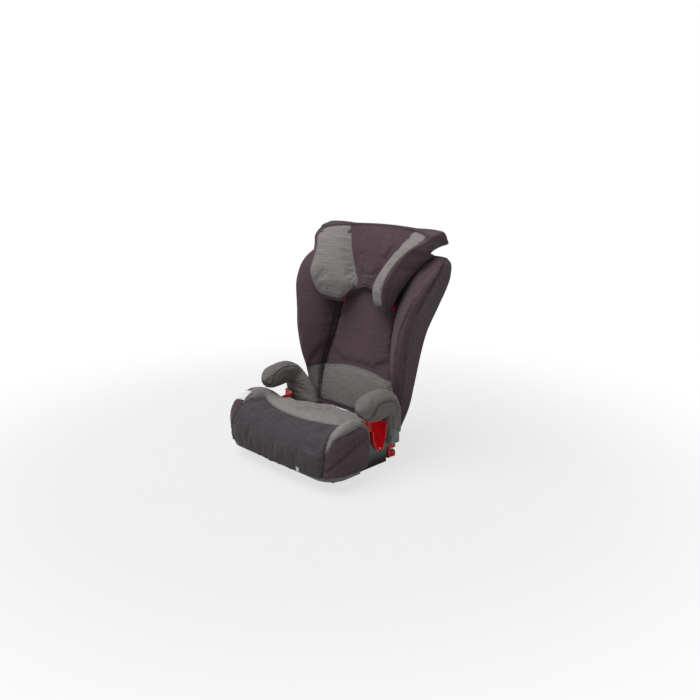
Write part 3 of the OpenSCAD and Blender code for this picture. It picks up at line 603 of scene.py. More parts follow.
def steel_finish(name):
    """Zinc-plated steel: drawn lines along X in the roughness and bump, with slightly warm patches."""
    material, tree, shader = blank(name)
    place = stretched(tree, wire(tree, "ShaderNodeTexCoord", None, "Object"), (30.0, 900.0, 900.0))
    drawn = noise(tree, place, 1.0, 3.0)
    fill(shader, {"Base Color": tint(tree, drawn, linear((0.62, 0.62, 0.63)), linear((0.78, 0.77, 0.74))),
                  "Roughness": ramp(tree, drawn, 0.22, 0.42), "Normal": relief(tree, 0.15, 0.0002, drawn),
                  "Metallic": 1.0})
    return material


# ---------------------------------------------------------------- sizes and colours a user may change


def colour_value(name, description, default):
    """Screen colour that a user may change."""
    return FloatVectorProperty(name=name, description=description, default=default, subtype="COLOR_GAMMA",
                               size=3, min=0, max=1)


def number(name, description, default, high, low=0.0, **kind):
    """Number that a user may change between two limits."""
    return FloatProperty(name=name, description=description, default=default, min=low, max=high, **kind)


class CoverValues(bpy.types.PropertyGroup):
    plum: colour_value("Plum cloth", "Colour of the backrest, headrest and cushion sides", (0.335, 0.268, 0.293))
    grey: colour_value("Grey cloth", "Colour of the seat centre, cheek pads, lumbar panel and armrests",
                       (0.535, 0.515, 0.51))
    charcoal: colour_value("Charcoal cloth", "Colour of the panel over the front of the cushion",
                           (0.285, 0.262, 0.277))
    slack: number("Cloth slack", "How much larger the covers are cut than their foam", 0.03, 0.1, subtype="FACTOR")
    fill: number("Filling pressure", "Push of the foam on its cover while the cloth settles", 3.0, 10.0)
    groove: number("Seam depth", "Depth of the groove along a seam", 0.0022, 0.006, unit="LENGTH")


class TrimValues(bpy.types.PropertyGroup):
    shell: colour_value("Shell plastic", "Colour of the seat, back and headrest shells", (0.43, 0.465, 0.445))
    dark: colour_value("Dark plastic", "Colour of the rails, hooks and underside", (0.2, 0.21, 0.215))
    red: colour_value("Red plastic", "Colour of the belt guides, buttons and levers", (0.84, 0.085, 0.13))
    tape: colour_value("Tape", "Colour of the blank label and the sewn tape", (0.9, 0.9, 0.92))


class StageValues(bpy.types.PropertyGroup):
    key: number("Key lamp", "Strength of the wide soft lamp at the upper left", 2.4, 50.0)
    spread: number("Key spread", "How wide the soft lamp looks from the seat", 0.9, 3.0, subtype="ANGLE")
    room: number("Room light", "Strength of the even light of the room", 0.36, 10.0)
    floor: colour_value("Floor", "Colour of the studio floor", (0.74, 0.742, 0.74))
    bright: number("Floor white", "Share of plain white in the floor as the camera sees it", 0.7, 1.0,
                   subtype="FACTOR")
    clear: number("Clear ring", "Distance from the seat where the floor runs out into white", 1.5, 30.0, 0.5,
                  unit="LENGTH")


def cover_values():
    """Colours and cloth values of the covers."""
    return bpy.context.scene.booster_covers


def groove_depth():
    """Depth of the groove along a seam, in millimetres."""
    return cover_values().groove * 1000


# ---------------------------------------------------------------- pieces


class SHELL_OT_finishes(bpy.types.Operator):
    """Gives the hard parts their plastic and steel finishes"""

    bl_idname = "booster.hard_finishes"
    bl_label = "Hard Part Finishes"

    def execute(self, context):
        trim = context.scene.booster_trims
        finishes = {
            # The shell darkens with painted shade towards its foot, up to about 56 mm.
            "shell_plastic": moulded_finish("shell_plastic", trim.shell, 0.46, foot=0.04),
            "dark_plastic": moulded_finish("dark_plastic", trim.dark, 0.5),
            "red_plastic": moulded_finish("red_plastic", trim.red, 0.3, 0.0001, 0.35),
            "steel": steel_finish("zinc_steel"),
        }
        finishes["plum_cloth"] = finishes["grey_cloth"] = finishes["foam"] = finishes["dark_plastic"]
        for part in frame["record"]["subparts"]:
            node = frame["nodes"][part["node"]]
            node.data.materials.clear()
            node.data.materials.append(finishes[part["material_slot"]])
        return {"FINISHED"}


class SHELL_OT_backs(bpy.types.Operator):
    """Builds the smooth moulded backs of the backrest and the headrest"""

    bl_idname = "booster.moulded_backs"
    bl_label = "Moulded Backs"

    def execute(self, context):
        finish = moulded_finish("back_plastic", context.scene.booster_trims.shell, 0.46)
        levels = np.linspace(-4, BACK_TOP - 3, 90)
        back = back_plate(back_section, levels, SHELL_INSET)
        levels = np.concatenate([np.linspace(HEAD_LOW + 2, 497, 40), np.linspace(500, HEAD_TOP - 4, 30)])
        head = head_rim(back_plate(head_section, levels, SHELL_INSET + 1.3), levels[:, None])
        for body, points in (("backrest", back), ("headrest", head)):
            piece = put_mesh(body + "_back", leaned(points))
            piece.data.set_sharp_from_angle(angle=math.radians(40))
            wall = piece.modifiers.new("wall", "SOLIDIFY")
            wall.thickness, wall.offset = 0.003, -1.0
            dress(piece, body, "shell_plastic", finish, body + "_shell")
        return {"FINISHED"}


# Tables of [step of the outline from the middle of the front, millimetres], then the crowned line by depth and
# the bulge of the side by its share of the height
SEAT_X = [[0, 0], [1, 105], [2, 178], [3, 217], [4, 229], [5, 230], [6, 227], [7, 211], [8, 178], [9, 158],
          [10, 150], [11, 130], [12, 104], [13, 92], [14, 0]]
SEAT_Y = [[0, -209], [1, -208], [2, -203], [3, -189], [4, -159], [5, -116], [6, -70], [7, -40], [8, -33],
          [9, -16], [10, 16], [11, 33], [12, 50], [13, 79], [14, 84]]
SEAT_HEM = [[0, 36], [2, 42], [3, 48], [4, 47], [6, 44], [6.6, 50], [7.6, 97], [14, 97]]
SEAT_LINE = [[-209, 126], [-175, 151], [-120, 160], [-60, 154], [20, 130], [84, 118]]
SEAT_SIDE = [[0, 2], [0.14, 0.6], [0.42, 0], [0.7, 3], [0.88, 11], [1, 24]]


BOLSTER_X, BOLSTER_Y, BOLSTER_RISE = 200, -104, 26
CREASE_X, CREASE_Y, CREASE_DEPTH = 172, -100, 3


def seat_top(x, y):
    """Height of the cushion: a crowned line from front to rear, plus a thigh bolster at each side, steep on
    its inner face, with a crease at its foot."""
    over = np.abs(x) - BOLSTER_X
    bolster = bell(over / np.where(over < 0, 25, 44)) * bell((y - BOLSTER_Y) / 76)
    crease = bell((np.abs(x) - CREASE_X) / 6) * bell((y - CREASE_Y) / 42)
    return curve(SEAT_LINE, y) + BOLSTER_RISE * bolster - CREASE_DEPTH * crease


def seat_grid(columns=360, side_rows=26, top_rows=46):
    """Cushion skin: the outline is walked in even steps from the middle of the front, and each step carries a
    profile turned in under the hem, up the bulging side and over the top to the middle line."""
    t = np.linspace(0, 14, 2801)
    walk = lengths(grid(curve(SEAT_X, t), curve(SEAT_Y, t))[None], 1)[0]
    t = np.interp(np.linspace(0, walk[-1], columns // 2 + 1), walk, t)
    run = np.interp(t, np.linspace(0, 14, 2801), walk)
    side = np.concatenate([np.ones(len(t)), -np.ones(len(t) - 2)])
    t = np.concatenate([t, t[-2:0:-1]])
    run = np.concatenate([run, run[-2:0:-1]]) * side
    o = grid(side * curve(SEAT_X, t), curve(SEAT_Y, t))
    s = grid(0 * t, np.clip(o[:, 1], -70, 40))
    u = (s - o) / np.linalg.norm(s - o, axis=1, keepdims=True)
    hem = line(SEAT_HEM, t)
    f = np.concatenate([np.zeros(4), np.linspace(0, 1, side_rows)])[:, None]
    tucked = np.concatenate([[14, 9, 5, 2.5], np.zeros(side_rows)])[:, None]
    lifted = np.concatenate([[7, 3, 0.8, 0], np.zeros(side_rows)])[:, None]
    shoulder = o + u * 24
    rim = seat_top(*shoulder.T)
    flat = o[None] + u[None] * (curve(SEAT_SIDE, f) + tucked)[..., None]
    low = np.concatenate([flat, (hem + (rim - hem) * f + lifted)[..., None]], -1)
    k = np.linspace(0, 1, top_rows)[1:, None, None] ** 0.85
    q = shoulder + (s - shoulder) * k
    top = np.concatenate([q, seat_top(q[..., 0], q[..., 1])[..., None]], -1)
    points = np.concatenate([low, top])
    share = np.concatenate([f[:, 0], 1 + np.linspace(0, 1, top_rows)[1:]])
    return points, t, run, share, hem


def seat_panels(points):
    """Distances from the panel lines on the cushion, in millimetres: inside the charcoal front, inside the
    plum side, and from the curved seam across the side."""
    x, y, z = np.moveaxis(points, -1, 0)
    down = np.clip(-93 - y, -60, 92) + np.where(y < -150, np.clip(135 - z, 0, 110), 0)
    twist = np.sign(x) * line([[0, 4], [92, 9], [200, -3]], down)
    edge = line([[-60, 168], [0, 172], [45, 181], [92, 189], [128, 194], [200, 191]], down) + twist
    tip, gap = np.where(x < 0, 78, 112), np.where(x < 0, 36, 43)
    outer = edge + gap * (1 - np.clip((down + 10) / (tip + 10), 0, 1) ** 2)
    back = -140 + 45 * (np.abs(x - 5) / 172) ** 2.2
    front = np.minimum(edge - np.abs(x), back - y)
    side = np.abs(x) - outer
    seam = z - line([[-205, 58], [-198, 66], [-181, 90], [-144, 110], [-101, 124], [-46, 139], [0, 150]], y)
    return front, side, np.where((np.abs(x) > 196) & (y < -40) & (z < 150), seam, 99.0)


class SEAT_OT_cushion(bpy.types.Operator):
    """Builds the seat cushion with its grey centre, charcoal front and plum sides"""

    bl_idname = "booster.seat_cushion"
    bl_label = "Seat Cushion"

    def execute(self, context):
        values = cover_values()
        points, t, run, share, hem = seat_grid()
        front, side, seam = seat_panels(points)
        x, y, z = np.moveaxis(points, -1, 0)
        near = np.abs([front, side, seam]).min(0)
        above = np.maximum(z - hem, 0)
        soft_hem = line([[0, 1], [6.6, 0.8], [7.4, 0]], t) * np.ones_like(z)
        dent = -groove_depth() * bell(near / 3.2)
        dent += soft_hem * tucks(run, above, count=72, seed=4, depth=1.7, tall=15, wide=2.6)
        dent += soft_hem * tucks(run, above, count=17, seed=9, depth=1.1, tall=52, wide=8.0)
        row = share[:, None]
        hold = held(z.shape, row < 0.1, near < 2.5, row > 1.93, step((t - 7.2) / 0.6) * (row < 1.02))
        ripple = soft_hem * (0.8 * np.sin(run / 17) + 0.7 * np.sin(run / 7.3 + 1)) * bell(above / 22)
        points = points + grid(0 * z, 0 * z, ripple)
        walk = lengths(points, 0)
        rim = np.searchsorted(share, 1.0)
        flat = grid(x, y)
        inward = flat[rim + 1] - flat[rim]
        inward = inward / np.linalg.norm(inward, axis=-1, keepdims=True)
        skirt = flat[rim] - inward * (walk[rim] - walk)[..., None]
        uv = np.where((share < 1)[:, None, None], skirt, flat)
        uv = np.concatenate([uv, uv[:, :1]], 1)
        marks = {"front": front, "side": side, "seam": near, "stitch": near - 3.2, "run": run,
                 "dent": dent, "hold": hold}
        piece = put_mesh("seat_cushion", points, uv, marks, closed=True)
        upholster(piece, values.slack, values.fill, cap=0.006)
        panels = ("side", values.plum), ("front", values.charcoal)
        finish = cloth_finish("seat_cloth", values.grey, panels, thread=(0.24, 0.22, 0.23))
        dress(piece, "base", "grey_cloth", finish, "seat_cover", "seat_foam")
        return {"FINISHED"}


# Share of the grey that is left in the cloth low on the backrest
LOW_GREY = 0.86
# Columns of a half section: pad, face, edge, side and corner
BACK_COUNTS = (26, 28, 16, 24, 9)
HEAD_COUNTS = (24, 28, 14, 14, 7)


class BACK_OT_cover(bpy.types.Operator):
    """Builds the winged backrest cover with its ribbed centre and sewn wing edges"""

    bl_idname = "booster.backrest_cover"
    bl_label = "Backrest Cover"

    def execute(self, context):
        values = cover_values()
        levels = np.concatenate([np.linspace(-6, 440, 92), np.linspace(440, BACK_TOP, 20)[1:]])
        points, z, caps = winged_pad(back_section, levels, BACK_COUNTS, (3.0, 2.0))
        fade = step((levels - 2) / 14) * step((BACK_TOP - 4 - levels) / 14)
        across, column, up, body = pad_map(points, z, caps, fade)
        seam_col, edge_col = BACK_COUNTS[0], sum(BACK_COUNTS[:3])
        out, middle = np.abs(across), across.shape[1] // 2

        def past(number):
            """Length across beyond the column that is so many from the middle, on either side."""
            return out - np.where(across > 0, out[:, middle + number, None], out[:, middle - number, None])

        pad_seam, edge_seam = past(seam_col), past(edge_col) - 4
        dent = -12.0 * bell(pad_seam / 9) * body
        gathers = tucks(up, np.abs(pad_seam + 2), count=34, seed=21, depth=3.4, tall=26, wide=3.0)
        dent += body * gathers * (pad_seam > -10)
        dent -= 1.5 * groove_depth() * body * bell(edge_seam / 2.6)
        dent += body * tucks(up, np.abs(edge_seam), count=46, seed=3, depth=1.8, tall=10, wide=2.6)
        under_lumbar = (column < seam_col + 3) & (up < 152)
        hold = held(up.shape, 1 - body, np.abs(pad_seam) < 3, np.abs(edge_seam) < 2.5, column > edge_col + 8,
                    under_lumbar)
        on_wing = (column >= seam_col) & (column < edge_col - 8)
        grey = np.where(on_wing, 123 - 0.5 * np.maximum(np.abs(points[..., 0]) - 143, 0) - up, -FAR)
        near = np.minimum(np.abs(edge_seam), np.abs(pad_seam))
        near = np.minimum(near, np.where(grey > -90, np.abs(grey), FAR))
        stitch = np.where(np.abs(edge_seam) < 8, np.abs(edge_seam) - 3.4, FAR)
        marks = {"grey": grey, "seam": near, "stitch": stitch, "run": up, "dent": dent, "hold": hold}
        piece = put_mesh("backrest_cushion", leaned(points), grid(across, up), marks)
        upholster(piece, values.slack * 0.8, values.fill, cap=0.006)
        panels = (("grey", darker(values.grey, LOW_GREY)),)
        finish = cloth_finish("backrest_cloth", values.plum, panels, thread=(0.42, 0.36, 0.38))
        dress(piece, "backrest", "plum_cloth", finish, "backrest_cover", "backrest_foam")
        return {"FINISHED"}


LUMBAR_LOW, LUMBAR_HALF, LUMBAR_TALL = 16, 140, 110


def puffed(t, power):
    """Rise of a sewn pad from edge to edge, 1 in the middle; a lower power is fuller."""
    return np.sin(math.pi * t) ** power


class BACK_OT_lumbar(bpy.types.Operator):
    """Builds the grey lumbar panel at the foot of the backrest"""

    bl_idname = "booster.lumbar_panel"
    bl_label = "Lumbar Panel"

    def execute(self, context):
        values = cover_values()
        u = np.linspace(-1, 1, 90)
        v = np.linspace(0, 1, 46)[:, None]
        from_side, from_top = (1 - np.abs(u)) * LUMBAR_HALF, (1 - v) * LUMBAR_TALL
        top = 124 + 19 * (1 - u * u)
        z = LUMBAR_LOW + (top - LUMBAR_LOW) * v
        seam = curve(WING_SEAM, z)
        x = u * (seam - 1)
        y = BACK_PAD - curve(LUMBAR_CROWN, z) * (1 - (x / seam) ** 2)
        base = grid(x, y, z)
        rise = puffed((u + 1) / 2, 0.4) * puffed(v, 0.4)
        points = base + outward(base) * (8.0 * rise - 2.0)[..., None]
        edge = np.minimum(from_side, from_top)
        dent = tucks(z, from_side, count=12, seed=8, depth=1.8, tall=26, wide=3.0) * step((edge - 4) / 16)
        marks = {"seam": edge + 1.0, "stitch": edge - 3.5, "run": x, "hold": 1.0 * (edge < 8), "dent": dent}
        piece = put_mesh("lumbar_panel", leaned(points), grid(x, z), marks)
        upholster(piece, values.slack, values.fill, cap=0.004)
        finish = cloth_finish("lumbar_cloth", darker(values.grey, LOW_GREY), slub=0.2)
        dress(piece, "backrest", "grey_cloth", finish, "lumbar_pad")
        return {"FINISHED"}


class HEAD_OT_cover(bpy.types.Operator):
    """Builds the bowl-shaped headrest cover with its rolled rim"""

    bl_idname = "booster.headrest_cover"
    bl_label = "Headrest Cover"

    def execute(self, context):
        values = cover_values()
        levels = np.concatenate([np.linspace(HEAD_LOW, 495, 40), [497, 500], np.linspace(503, 550, 14),
                                 np.linspace(550, HEAD_TOP, 14)[1:]])
        points, z, caps = winged_pad(head_section, levels, HEAD_COUNTS, (2.0, 3.0))
        points = head_rim(points, z[:, None])
        fade = step((levels - HEAD_LOW) / 10) * step((HEAD_TOP - levels) / 8)
        across, column, up, body = pad_map(points, z, caps, fade)
        x = points[..., 0]
        rim = up - (568 - 0.0006 * x ** 2)
        hem = up - (HEAD_LOW + 9)
        side_col = sum(HEAD_COUNTS[:3])
        on_front = column < side_col
        dent = -groove_depth() * body * bell(rim / 3) * on_front
        dent += 1.6 * body * bell((rim - 9) / 7) * on_front
        centre = column < HEAD_COUNTS[0]
        pleats = np.sin(x / 7.5 + 0.015 * up) * bell((x - 30) / 45)
        pleats += np.sin(x / 5.2 + 0.02 * up) * bell((x + 40) / 50)
        dent += centre * body * 1.1 * pleats * step((560 - up) / 60)
        under_cheeks = (column > HEAD_COUNTS[0] - 8) & (column < side_col)
        hold = held(up.shape, 1 - step(body * 1.3), (np.abs(rim) < 2.5) & on_front, column > side_col + 9, under_cheeks)
        near = np.where(on_front, np.abs(rim), FAR)
        near = np.minimum(near, np.where(centre, np.abs(hem), FAR))
        stitch = np.where(on_front, np.abs(rim) - 3.2, FAR)
        marks = {"seam": near, "stitch": stitch, "run": across, "dent": dent, "hold": hold}
        piece = put_mesh("headrest_cushion", leaned(points), grid(across, up), marks)
        upholster(piece, values.slack, values.fill, cap=0.005)
        finish = cloth_finish("headrest_cloth", values.plum, slub=0.1)
        dress(piece, "headrest", "plum_cloth", finish, "headrest_cover", "headrest_foam")
        return {"FINISHED"}


# Share of the wing's edge circle that a cheek pad covers, by height
CHEEK_ROUND = [[343, 0.58], [395, 0.5], [456, 0.28], [484, 0.13], [513, -0.01], [535, -0.06], [545, -0.1],
               [557, -0.16]]
CHEEK_WIDE, CHEEK_TALL = 150, 210


def cheek_base(v, u):
    """Surface under a cheek pad: v runs from the lower edge up to the sewn line under the rim, which falls
    outwards, and u along the section from the pad seam over the wing's inner face and round its edge."""
    z = np.arange(HEAD_LOW, 566.0, 2.0)
    half = wrap_half(head_section(z), 0.0, (24, 60, 60, 14, 7))[:, 24:144]
    run = lengths(half, 1)
    end = 60 + 59 * line(CHEEK_ROUND, z)
    want = np.array([np.interp(e, np.arange(120), r) for e, r in zip(end, run)])[:, None] * u
    flat = np.stack([np.stack([np.interp(w, r, h[:, k]) for w, r, h in zip(want, run, half)]) for k in (0, 1)], -1)
    sheet = np.concatenate([raised(flat, z), want[..., None]], -1)
    up = (1 + (215 - 18 * u ** 2) * v) / 2
    low = np.floor(up).astype(int)
    column = np.broadcast_to(np.arange(u.size), up.shape)
    mixed = sheet[low, column] + (sheet[low + 1, column] - sheet[low, column]) * (up - low)[..., None]
    return head_rim(mixed[..., :3], mixed[..., 2]), mixed[..., 3]


class HEAD_OT_cheeks(bpy.types.Operator):
    """Builds the two light grey cheek pads of the headrest"""

    bl_idname = "booster.cheek_pads"
    bl_label = "Cheek Pads"

    def execute(self, context):
        values = cover_values()
        finish = cloth_finish("cheek_cloth", values.grey, slub=0.2)
        v = np.linspace(0, 1, 64)[:, None]
        s = np.linspace(0, 1, 60)[None]
        base, want = cheek_base(v, s)
        rise = puffed(s, 0.42) * puffed(v, 0.42)
        thick = (6.5 * rise - 1.8) * (1 - 0.3 * step((v - 0.4) / 0.4) * step((s - 0.45) / 0.35))
        points = base + outward(base) * thick[..., None]
        edge = np.minimum(np.minimum(s, 1 - s) * CHEEK_WIDE, np.minimum(v, 1 - v) * CHEEK_TALL)
        dent = tucks(want, (1 - v) * CHEEK_TALL, count=6, seed=5, depth=2.0, tall=45, wide=6.0)
        dent *= step((1 - v) * 12) * step((0.8 - s) / 0.2)
        gathers = tucks(points[..., 2], s * CHEEK_WIDE, count=9, seed=12, depth=1.5, tall=20, wide=5.0)
        dent += gathers * (v < 0.4)
        marks = {"seam": edge + 1.2, "stitch": edge - 3.4, "run": points[..., 2] + points[..., 0],
                 "dent": dent * step((edge - 5) / 16), "hold": 1.0 * (edge < 9)}
        uv = grid(want, points[..., 2])
        for name, sign in SIDES:
            placed = leaned(mirrored(points, sign))
            piece = put_mesh("cheek_cushion_" + name, placed, uv, marks, flip=sign < 0)
            upholster(piece, values.slack, values.fill, cap=0.004)
            dress(piece, "headrest", "grey_cloth", finish, "cheek_pad_" + name)
        return {"FINISHED"}


# Tables of [step along the armrest from its foot, millimetres or share]
ARM_Y = [[0, 54], [1, 55], [2, 53], [3, 37], [4, 6], [5, -30], [6, -58], [7, -76]]
ARM_H = [[0, 97], [1, 130], [2, 170], [3, 200], [4, 209], [5, 206], [6, 202], [7, 201]]
ARM_DEEP = [[0, 27], [1, 28], [2, 28], [3, 29], [4, 31], [5, 31], [6, 26], [7, 8]]
ARM_SPREAD = [[0, 32], [1, 28], [2, 16], [2.6, 7], [3.2, 0], [7, 0]]
ARM_WIDE = [[0, 30], [5, 30], [6, 25], [7, 10]]
ARM_HANG = [[0, 0], [2.3, 0], [3, 0.45], [4, 0.75], [5, 0.75], [6, 0.35], [7, 0]]
ARM_X = 199.0


def arm_grid(t, angle):
    """Armrest skin: squared rings set across a bent centre line, wider to the inside at the foot, and with the
    outer half drawn down along the level part."""
    dy, dz = (curve(k, t + 0.02) - curve(k, t - 0.02) for k in (ARM_Y, ARM_H))
    a = np.arctan2(dz, dy) - math.pi / 2
    s = curve(ARM_SPREAD, t)
    u = signed_power(np.cos(angle), 0.75)
    inner = np.minimum(1, s / 26) * np.maximum(0, -u)
    side = signed_power(np.sin(angle), 0.75) * (1 - 0.5 * inner)
    v = side * (1 + np.where(side < 0, curve(ARM_HANG, t) * np.maximum(0, u), 0))
    rise = np.maximum(0, (1.8 - t) / 1.45) * np.maximum(0, u) * (12 - 16 * v)
    b = curve(ARM_DEEP, t)
    return grid(ARM_X - s + u * (curve(ARM_WIDE, t) + s), curve(ARM_Y, t) + 4 * inner + v * b * np.cos(a),
                curve(ARM_H, t) + v * b * np.sin(a) + rise)


class ARM_OT_covers(bpy.types.Operator):
    """Builds the two padded armrest covers with their side panels and elbow folds"""

    bl_idname = "booster.armrest_covers"
    bl_label = "Armrest Covers"

    def execute(self, context):
        values = cover_values()
        finish = cloth_finish("armrest_cloth", darker(values.grey, 0.84), slub=0.12)
        t = np.concatenate([np.linspace(0.35, 6, 84), np.linspace(6, 7, 22)[1:]])[:, None]
        angle = np.linspace(0, 2 * math.pi, 80, endpoint=False)[None]
        points = arm_grid(t, angle)
        mid = points.mean(1, keepdims=True)
        foot, end = points[:1] - mid[:1], points[-1:] - mid[-1:]
        tucked = mid[:1] + foot * np.array([0.8, 0.93])[:, None, None] + np.array([[[0, 0, 6.0]], [[0, 0, 1.0]]])
        tip = mid[-1:] + end * np.array([0.8, 0.5, 0.0])[:, None, None]
        tip = tip + np.array([[[0, -1.6, 0]], [[0, -2.6, 0]], [[0, -3.0, 0]]])
        points = np.concatenate([tucked, points, tip])
        t = np.concatenate([[[0.3], [0.32]], t, [[7.0]] * 3])
        turn = np.degrees(np.mod(angle + math.pi, 2 * math.pi) - math.pi)
        outer = line([[0, 8], [4.8, 8], [5.8, -18], [6.3, -70], [7, -80]], t)
        inner = line([[0, 140], [4.8, 140], [5.8, 158], [6.3, 215], [7, 230]], t)
        size = curve(ARM_DEEP, t) + 6
        seam = np.minimum(np.abs(turn - outer), np.abs(np.mod(turn, 360) - inner)) * np.pi / 180 * size
        seam = np.where(t < 2.2, FAR, seam)
        run = lengths(points, 0)
        dent = -groove_depth() * 0.9 * bell(seam / 3)
        elbow = bell((turn + 90) / 62) * step((t - 1.0) / 0.6) * step((3.7 - t) / 0.6)
        dent = dent + elbow * tucks(run, np.abs(turn + 90) * 0.5, count=15, seed=31, depth=4.2, tall=38, wide=4.6)
        foot = bell((turn + 10) / 50) * step((2.6 - t) / 0.6)
        dent = dent + foot * tucks(turn * 0.6, np.abs(run - 30), count=9, seed=14, depth=3.0, tall=60, wide=4.0)
        hold = held(run.shape, (t < 0.5) | (t > 6.9), 0.8 * (seam < 2))
        round_turn = np.concatenate([turn, turn[:, :1] + 360], 1)
        uv = grid(round_turn * 0.52, np.concatenate([run, run[:, :1]], 1))
        marks = {"seam": seam, "stitch": seam - 3.2, "run": run, "dent": dent, "hold": hold}
        for name, sign in SIDES:
            placed = mirrored(points, sign)
            piece = put_mesh("armrest_cushion_" + name, placed, uv, marks, closed=True, flip=sign < 0)
            upholster(piece, values.slack * 1.3, values.fill * 0.7, cap=0.004)
            dress(piece, "base", "grey_cloth", finish, "armrest_cover_" + name)
        return {"FINISHED"}


# Middle, radii and wall of a lap belt scoop
SCOOP_AT, SCOOP_RADII, SCOOP_WALL = (216, -3, 150), (52, 25, 76), 3.5


class TRIM_OT_lap_guides(bpy.types.Operator):
    """Builds the two smooth red lap belt scoops under the armrests"""

    bl_idname = "booster.lap_guides"
    bl_label = "Lap Belt Guides"

    def execute(self, context):
        finish = moulded_finish("scoop_red", context.scene.booster_trims.red, 0.22, 0.00005, 0.5)
        v = np.radians(np.linspace(-78, 0, 56))[:, None]
        u = np.radians(np.linspace(-88, 88, 64))[None]

        def skin(grow):
            """Inner lower part of an ellipsoid, its radii grown, with the front of its rim drawn down."""
            x, y, z = (r + grow for r in SCOOP_RADII)
            drop = 18 * step((-u - 0.3) / 1.1) * (1 + np.sin(v))
            shape = grid(-x * np.cos(u) * np.cos(v), y * np.sin(u) * np.cos(v), z * np.sin(v) - drop)
            return shape + np.array(SCOOP_AT)

        inside, outside = skin(0.0), skin(SCOOP_WALL)
        lip, foot = ((inside[k] + outside[k]) * 0.5 for k in (slice(-1, None), slice(1)))
        loop = np.concatenate([inside, lip + [0, 0, 1.4], outside[::-1], foot, inside[:1]])
        for name, sign in SIDES:
            piece = put_mesh("lap_scoop_" + name, mirrored(loop, sign), flip=sign > 0)
            bm = bmesh.new()
            bm.from_mesh(piece.data)
            bmesh.ops.holes_fill(bm, edges=[e for e in bm.edges if e.is_boundary], sides=0)
            bmesh.ops.recalc_face_normals(bm, faces=bm.faces)
            bm.to_mesh(piece.data)
            bm.free()
            dress(piece, "base", "red_plastic", finish, "lap_guide_" + name)
        return {"FINISHED"}


def patch(skin, row, column):
    """Points of a grid at part-way rows and columns, mixed from the four nearest."""
    r, c = np.floor(row).astype(int), np.floor(column).astype(int)
    a, b = (row - r)[..., None], (column - c)[..., None]
    c, d = c % skin.shape[1], (c + 1) % skin.shape[1]
    lower, upper = (skin[k, c] * (1 - b) + skin[k, d] * b for k in (r, r + 1))
    return lower * (1 - a) + upper * a


# Labels on the cushion: name, steps of the outline at its two ends (left side below zero), share of the
# profile at its lower and upper edge
LABELS = (("blank_label", -4.4, -3.2, 0.9, 1.07), ("rear_tape", 13.77, -13.24, 0.86, 1.01),
          ("hem_tab", 0.93, 1.05, 0.02, 0.15))
LABEL_ROWS, LABEL_COLS, LABEL_LIFT = 14, 40, 1.3


class TRIM_OT_labels(bpy.types.Operator):
    """Lays the blank label, the rear tape and the hem tab on the seat cushion"""

    bl_idname = "booster.labels"
    bl_label = "Labels"

    def execute(self, context):
        _, t, _, share, _ = seat_grid()
        rows, cols = len(share) - 1, len(t)
        skin = get_points(bpy.data.objects["seat_cushion"].data)[:rows * cols].reshape(rows, cols, 3) * 1000
        normal = outward(skin, closed=True)
        half = t[:cols // 2 + 1]
        finish = cloth_finish("label_tape", context.scene.booster_trims.tape, slub=0.04)
        for name, start, end, low, high in LABELS:
            c = [np.interp(abs(k), half, np.arange(half.size)) for k in (start, end)]
            c = [k if side > 0 else cols - k for k, side in zip(c, (start, end))]
            row = np.interp(np.linspace(low, high, LABEL_ROWS), share, np.arange(share.size))
            row, column = np.meshgrid(row, np.linspace(*c, LABEL_COLS), indexing="ij")
            laid = patch(skin, row, column) + LABEL_LIFT * patch(normal, row, column)
            wide, long = lengths(laid, 0), lengths(laid, 1)
            edge = np.minimum(np.minimum(wide, wide[-1:] - wide), np.minimum(long, long[:, -1:] - long))
            marks = {"seam": edge + 1.6, "stitch": edge - 1.8, "run": long + wide}
            piece = put_mesh(name, laid, grid(long, wide), marks)
            thick = piece.modifiers.new("thickness", "SOLIDIFY")
            thick.thickness, thick.offset = 0.0008, 0.0
            dress(piece, "base", "grey_cloth", finish)
        return {"FINISHED"}


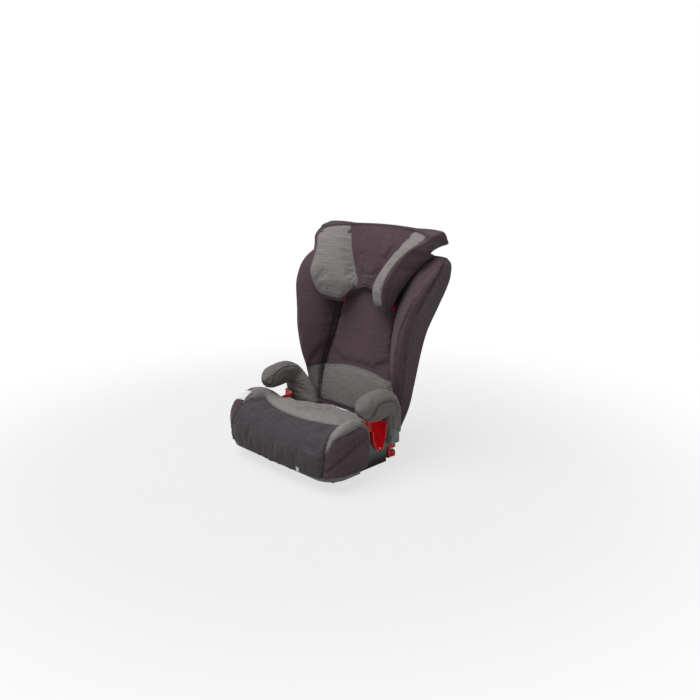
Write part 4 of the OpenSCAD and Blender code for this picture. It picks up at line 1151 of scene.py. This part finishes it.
class STUDIO_OT_stage(bpy.types.Operator):
    """Sets the floor, the soft lamp, the room and the camera"""

    bl_idname = "booster.studio"
    bl_label = "Studio"

    def execute(self, context):
        scene = context.scene
        values = scene.booster_stage
        span = np.linspace(-1, 1, 3) * FLOOR_HALF * 1000
        floor = put_mesh("studio_floor", grid(span[None], span[:, None], 0.0))
        material, tree, shader = blank("studio_floor")
        place = wire(tree, "ShaderNodeTexCoord", None, "Object")
        speck = tint(tree, noise(tree, place, 4.0, 3.0), shade_of(values.floor, 0.985), linear(values.floor))
        fill(shader, {"Base Color": speck, "Roughness": 0.8})
        far = wire(tree, "ShaderNodeVectorMath", {0: place}, "Value", operation="LENGTH")
        seen = wire(tree, "ShaderNodeLightPath", None, "Is Camera Ray")
        sockets = {"Value": far, "From Min": values.clear * 0.4, "From Max": values.clear, "To Min": values.bright}
        fade = wire(tree, "ShaderNodeMapRange", sockets, interpolation_type="SMOOTHSTEP")
        white = wire(tree, "ShaderNodeEmission", {"Color": (1, 1, 1, 1), "Strength": 1.0})
        share = math_node(tree, "MULTIPLY", fade, seen)
        mixed = wire(tree, "ShaderNodeMixShader", {0: share, 1: shader.outputs[0], 2: white})
        fill(tree.nodes["Material Output"], {"Surface": mixed})
        floor.data.materials.append(material)
        lamp = bpy.data.lights.new("key_lamp", "SUN")
        lamp.energy, lamp.angle = values.key, values.spread
        holder = bpy.data.objects.new("key_lamp", lamp)
        holder.location = LAMP_AT
        holder.rotation_euler = (-holder.location).to_track_quat("-Z", "Y").to_euler()
        scene.collection.objects.link(holder)
        world = bpy.data.worlds.new("room")
        world.use_nodes = True
        tree = world.node_tree
        path = tree.nodes.new("ShaderNodeLightPath").outputs
        seen = math_node(tree, "MAXIMUM", path["Is Camera Ray"], path["Is Transmission Ray"])
        fill(tree.nodes["Background"], {"Color": (1, 1, 1, 1), "Strength": ramp(tree, seen, values.room, 1.0)})
        scene.world = world
        camera = bpy.data.cameras.new("photo_camera")
        camera.lens, camera.sensor_width = LENS_MM, SENSOR_MM
        holder = bpy.data.objects.new("photo_camera", camera)
        back, across = Vector(CAMERA_BACK), Vector(CAMERA_RIGHT)
        turned = Matrix((across, back.cross(across), back)).transposed().to_4x4()
        holder.matrix_world = Matrix.Translation(CAMERA_AT) @ turned
        scene.collection.objects.link(holder)
        scene.camera = holder
        scene.view_settings.view_transform = "Standard"
        return {"FINISHED"}


PIECES = (SHELL_OT_finishes, SHELL_OT_backs, SEAT_OT_cushion, BACK_OT_cover, BACK_OT_lumbar, HEAD_OT_cover,
          HEAD_OT_cheeks, ARM_OT_covers, TRIM_OT_lap_guides, TRIM_OT_labels, STUDIO_OT_stage)


class BOOSTER_PT_panel(bpy.types.Panel):
    """Lists the pieces of the booster seat and the values behind them"""

    bl_label = "Booster Seat"
    bl_idname = "BOOSTER_PT_panel"
    bl_space_type = "VIEW_3D"
    bl_region_type = "UI"
    bl_category = "Booster Seat"

    def draw(self, context):
        for group in (context.scene.booster_covers, context.scene.booster_trims, context.scene.booster_stage):
            for key in group.bl_rna.properties.keys()[2:]:
                self.layout.prop(group, key)
        for piece in PIECES:
            self.layout.operator(piece.bl_idname)


CLASSES = (CoverValues, TrimValues, StageValues) + PIECES + (BOOSTER_PT_panel,)


def register():
    for kind in CLASSES:
        bpy.utils.register_class(kind)
    bpy.types.Scene.booster_covers = PointerProperty(type=CoverValues)
    bpy.types.Scene.booster_trims = PointerProperty(type=TrimValues)
    bpy.types.Scene.booster_stage = PointerProperty(type=StageValues)


def unregister():
    for key in ("booster_covers", "booster_trims", "booster_stage"):
        delattr(bpy.types.Scene, key)
    for kind in reversed(CLASSES):
        bpy.utils.unregister_class(kind)


def main():
    register()
    for piece in PIECES:
        group, name = piece.bl_idname.split(".")
        getattr(getattr(bpy.ops, group), name)()


if __name__ == "__main__":
    main()
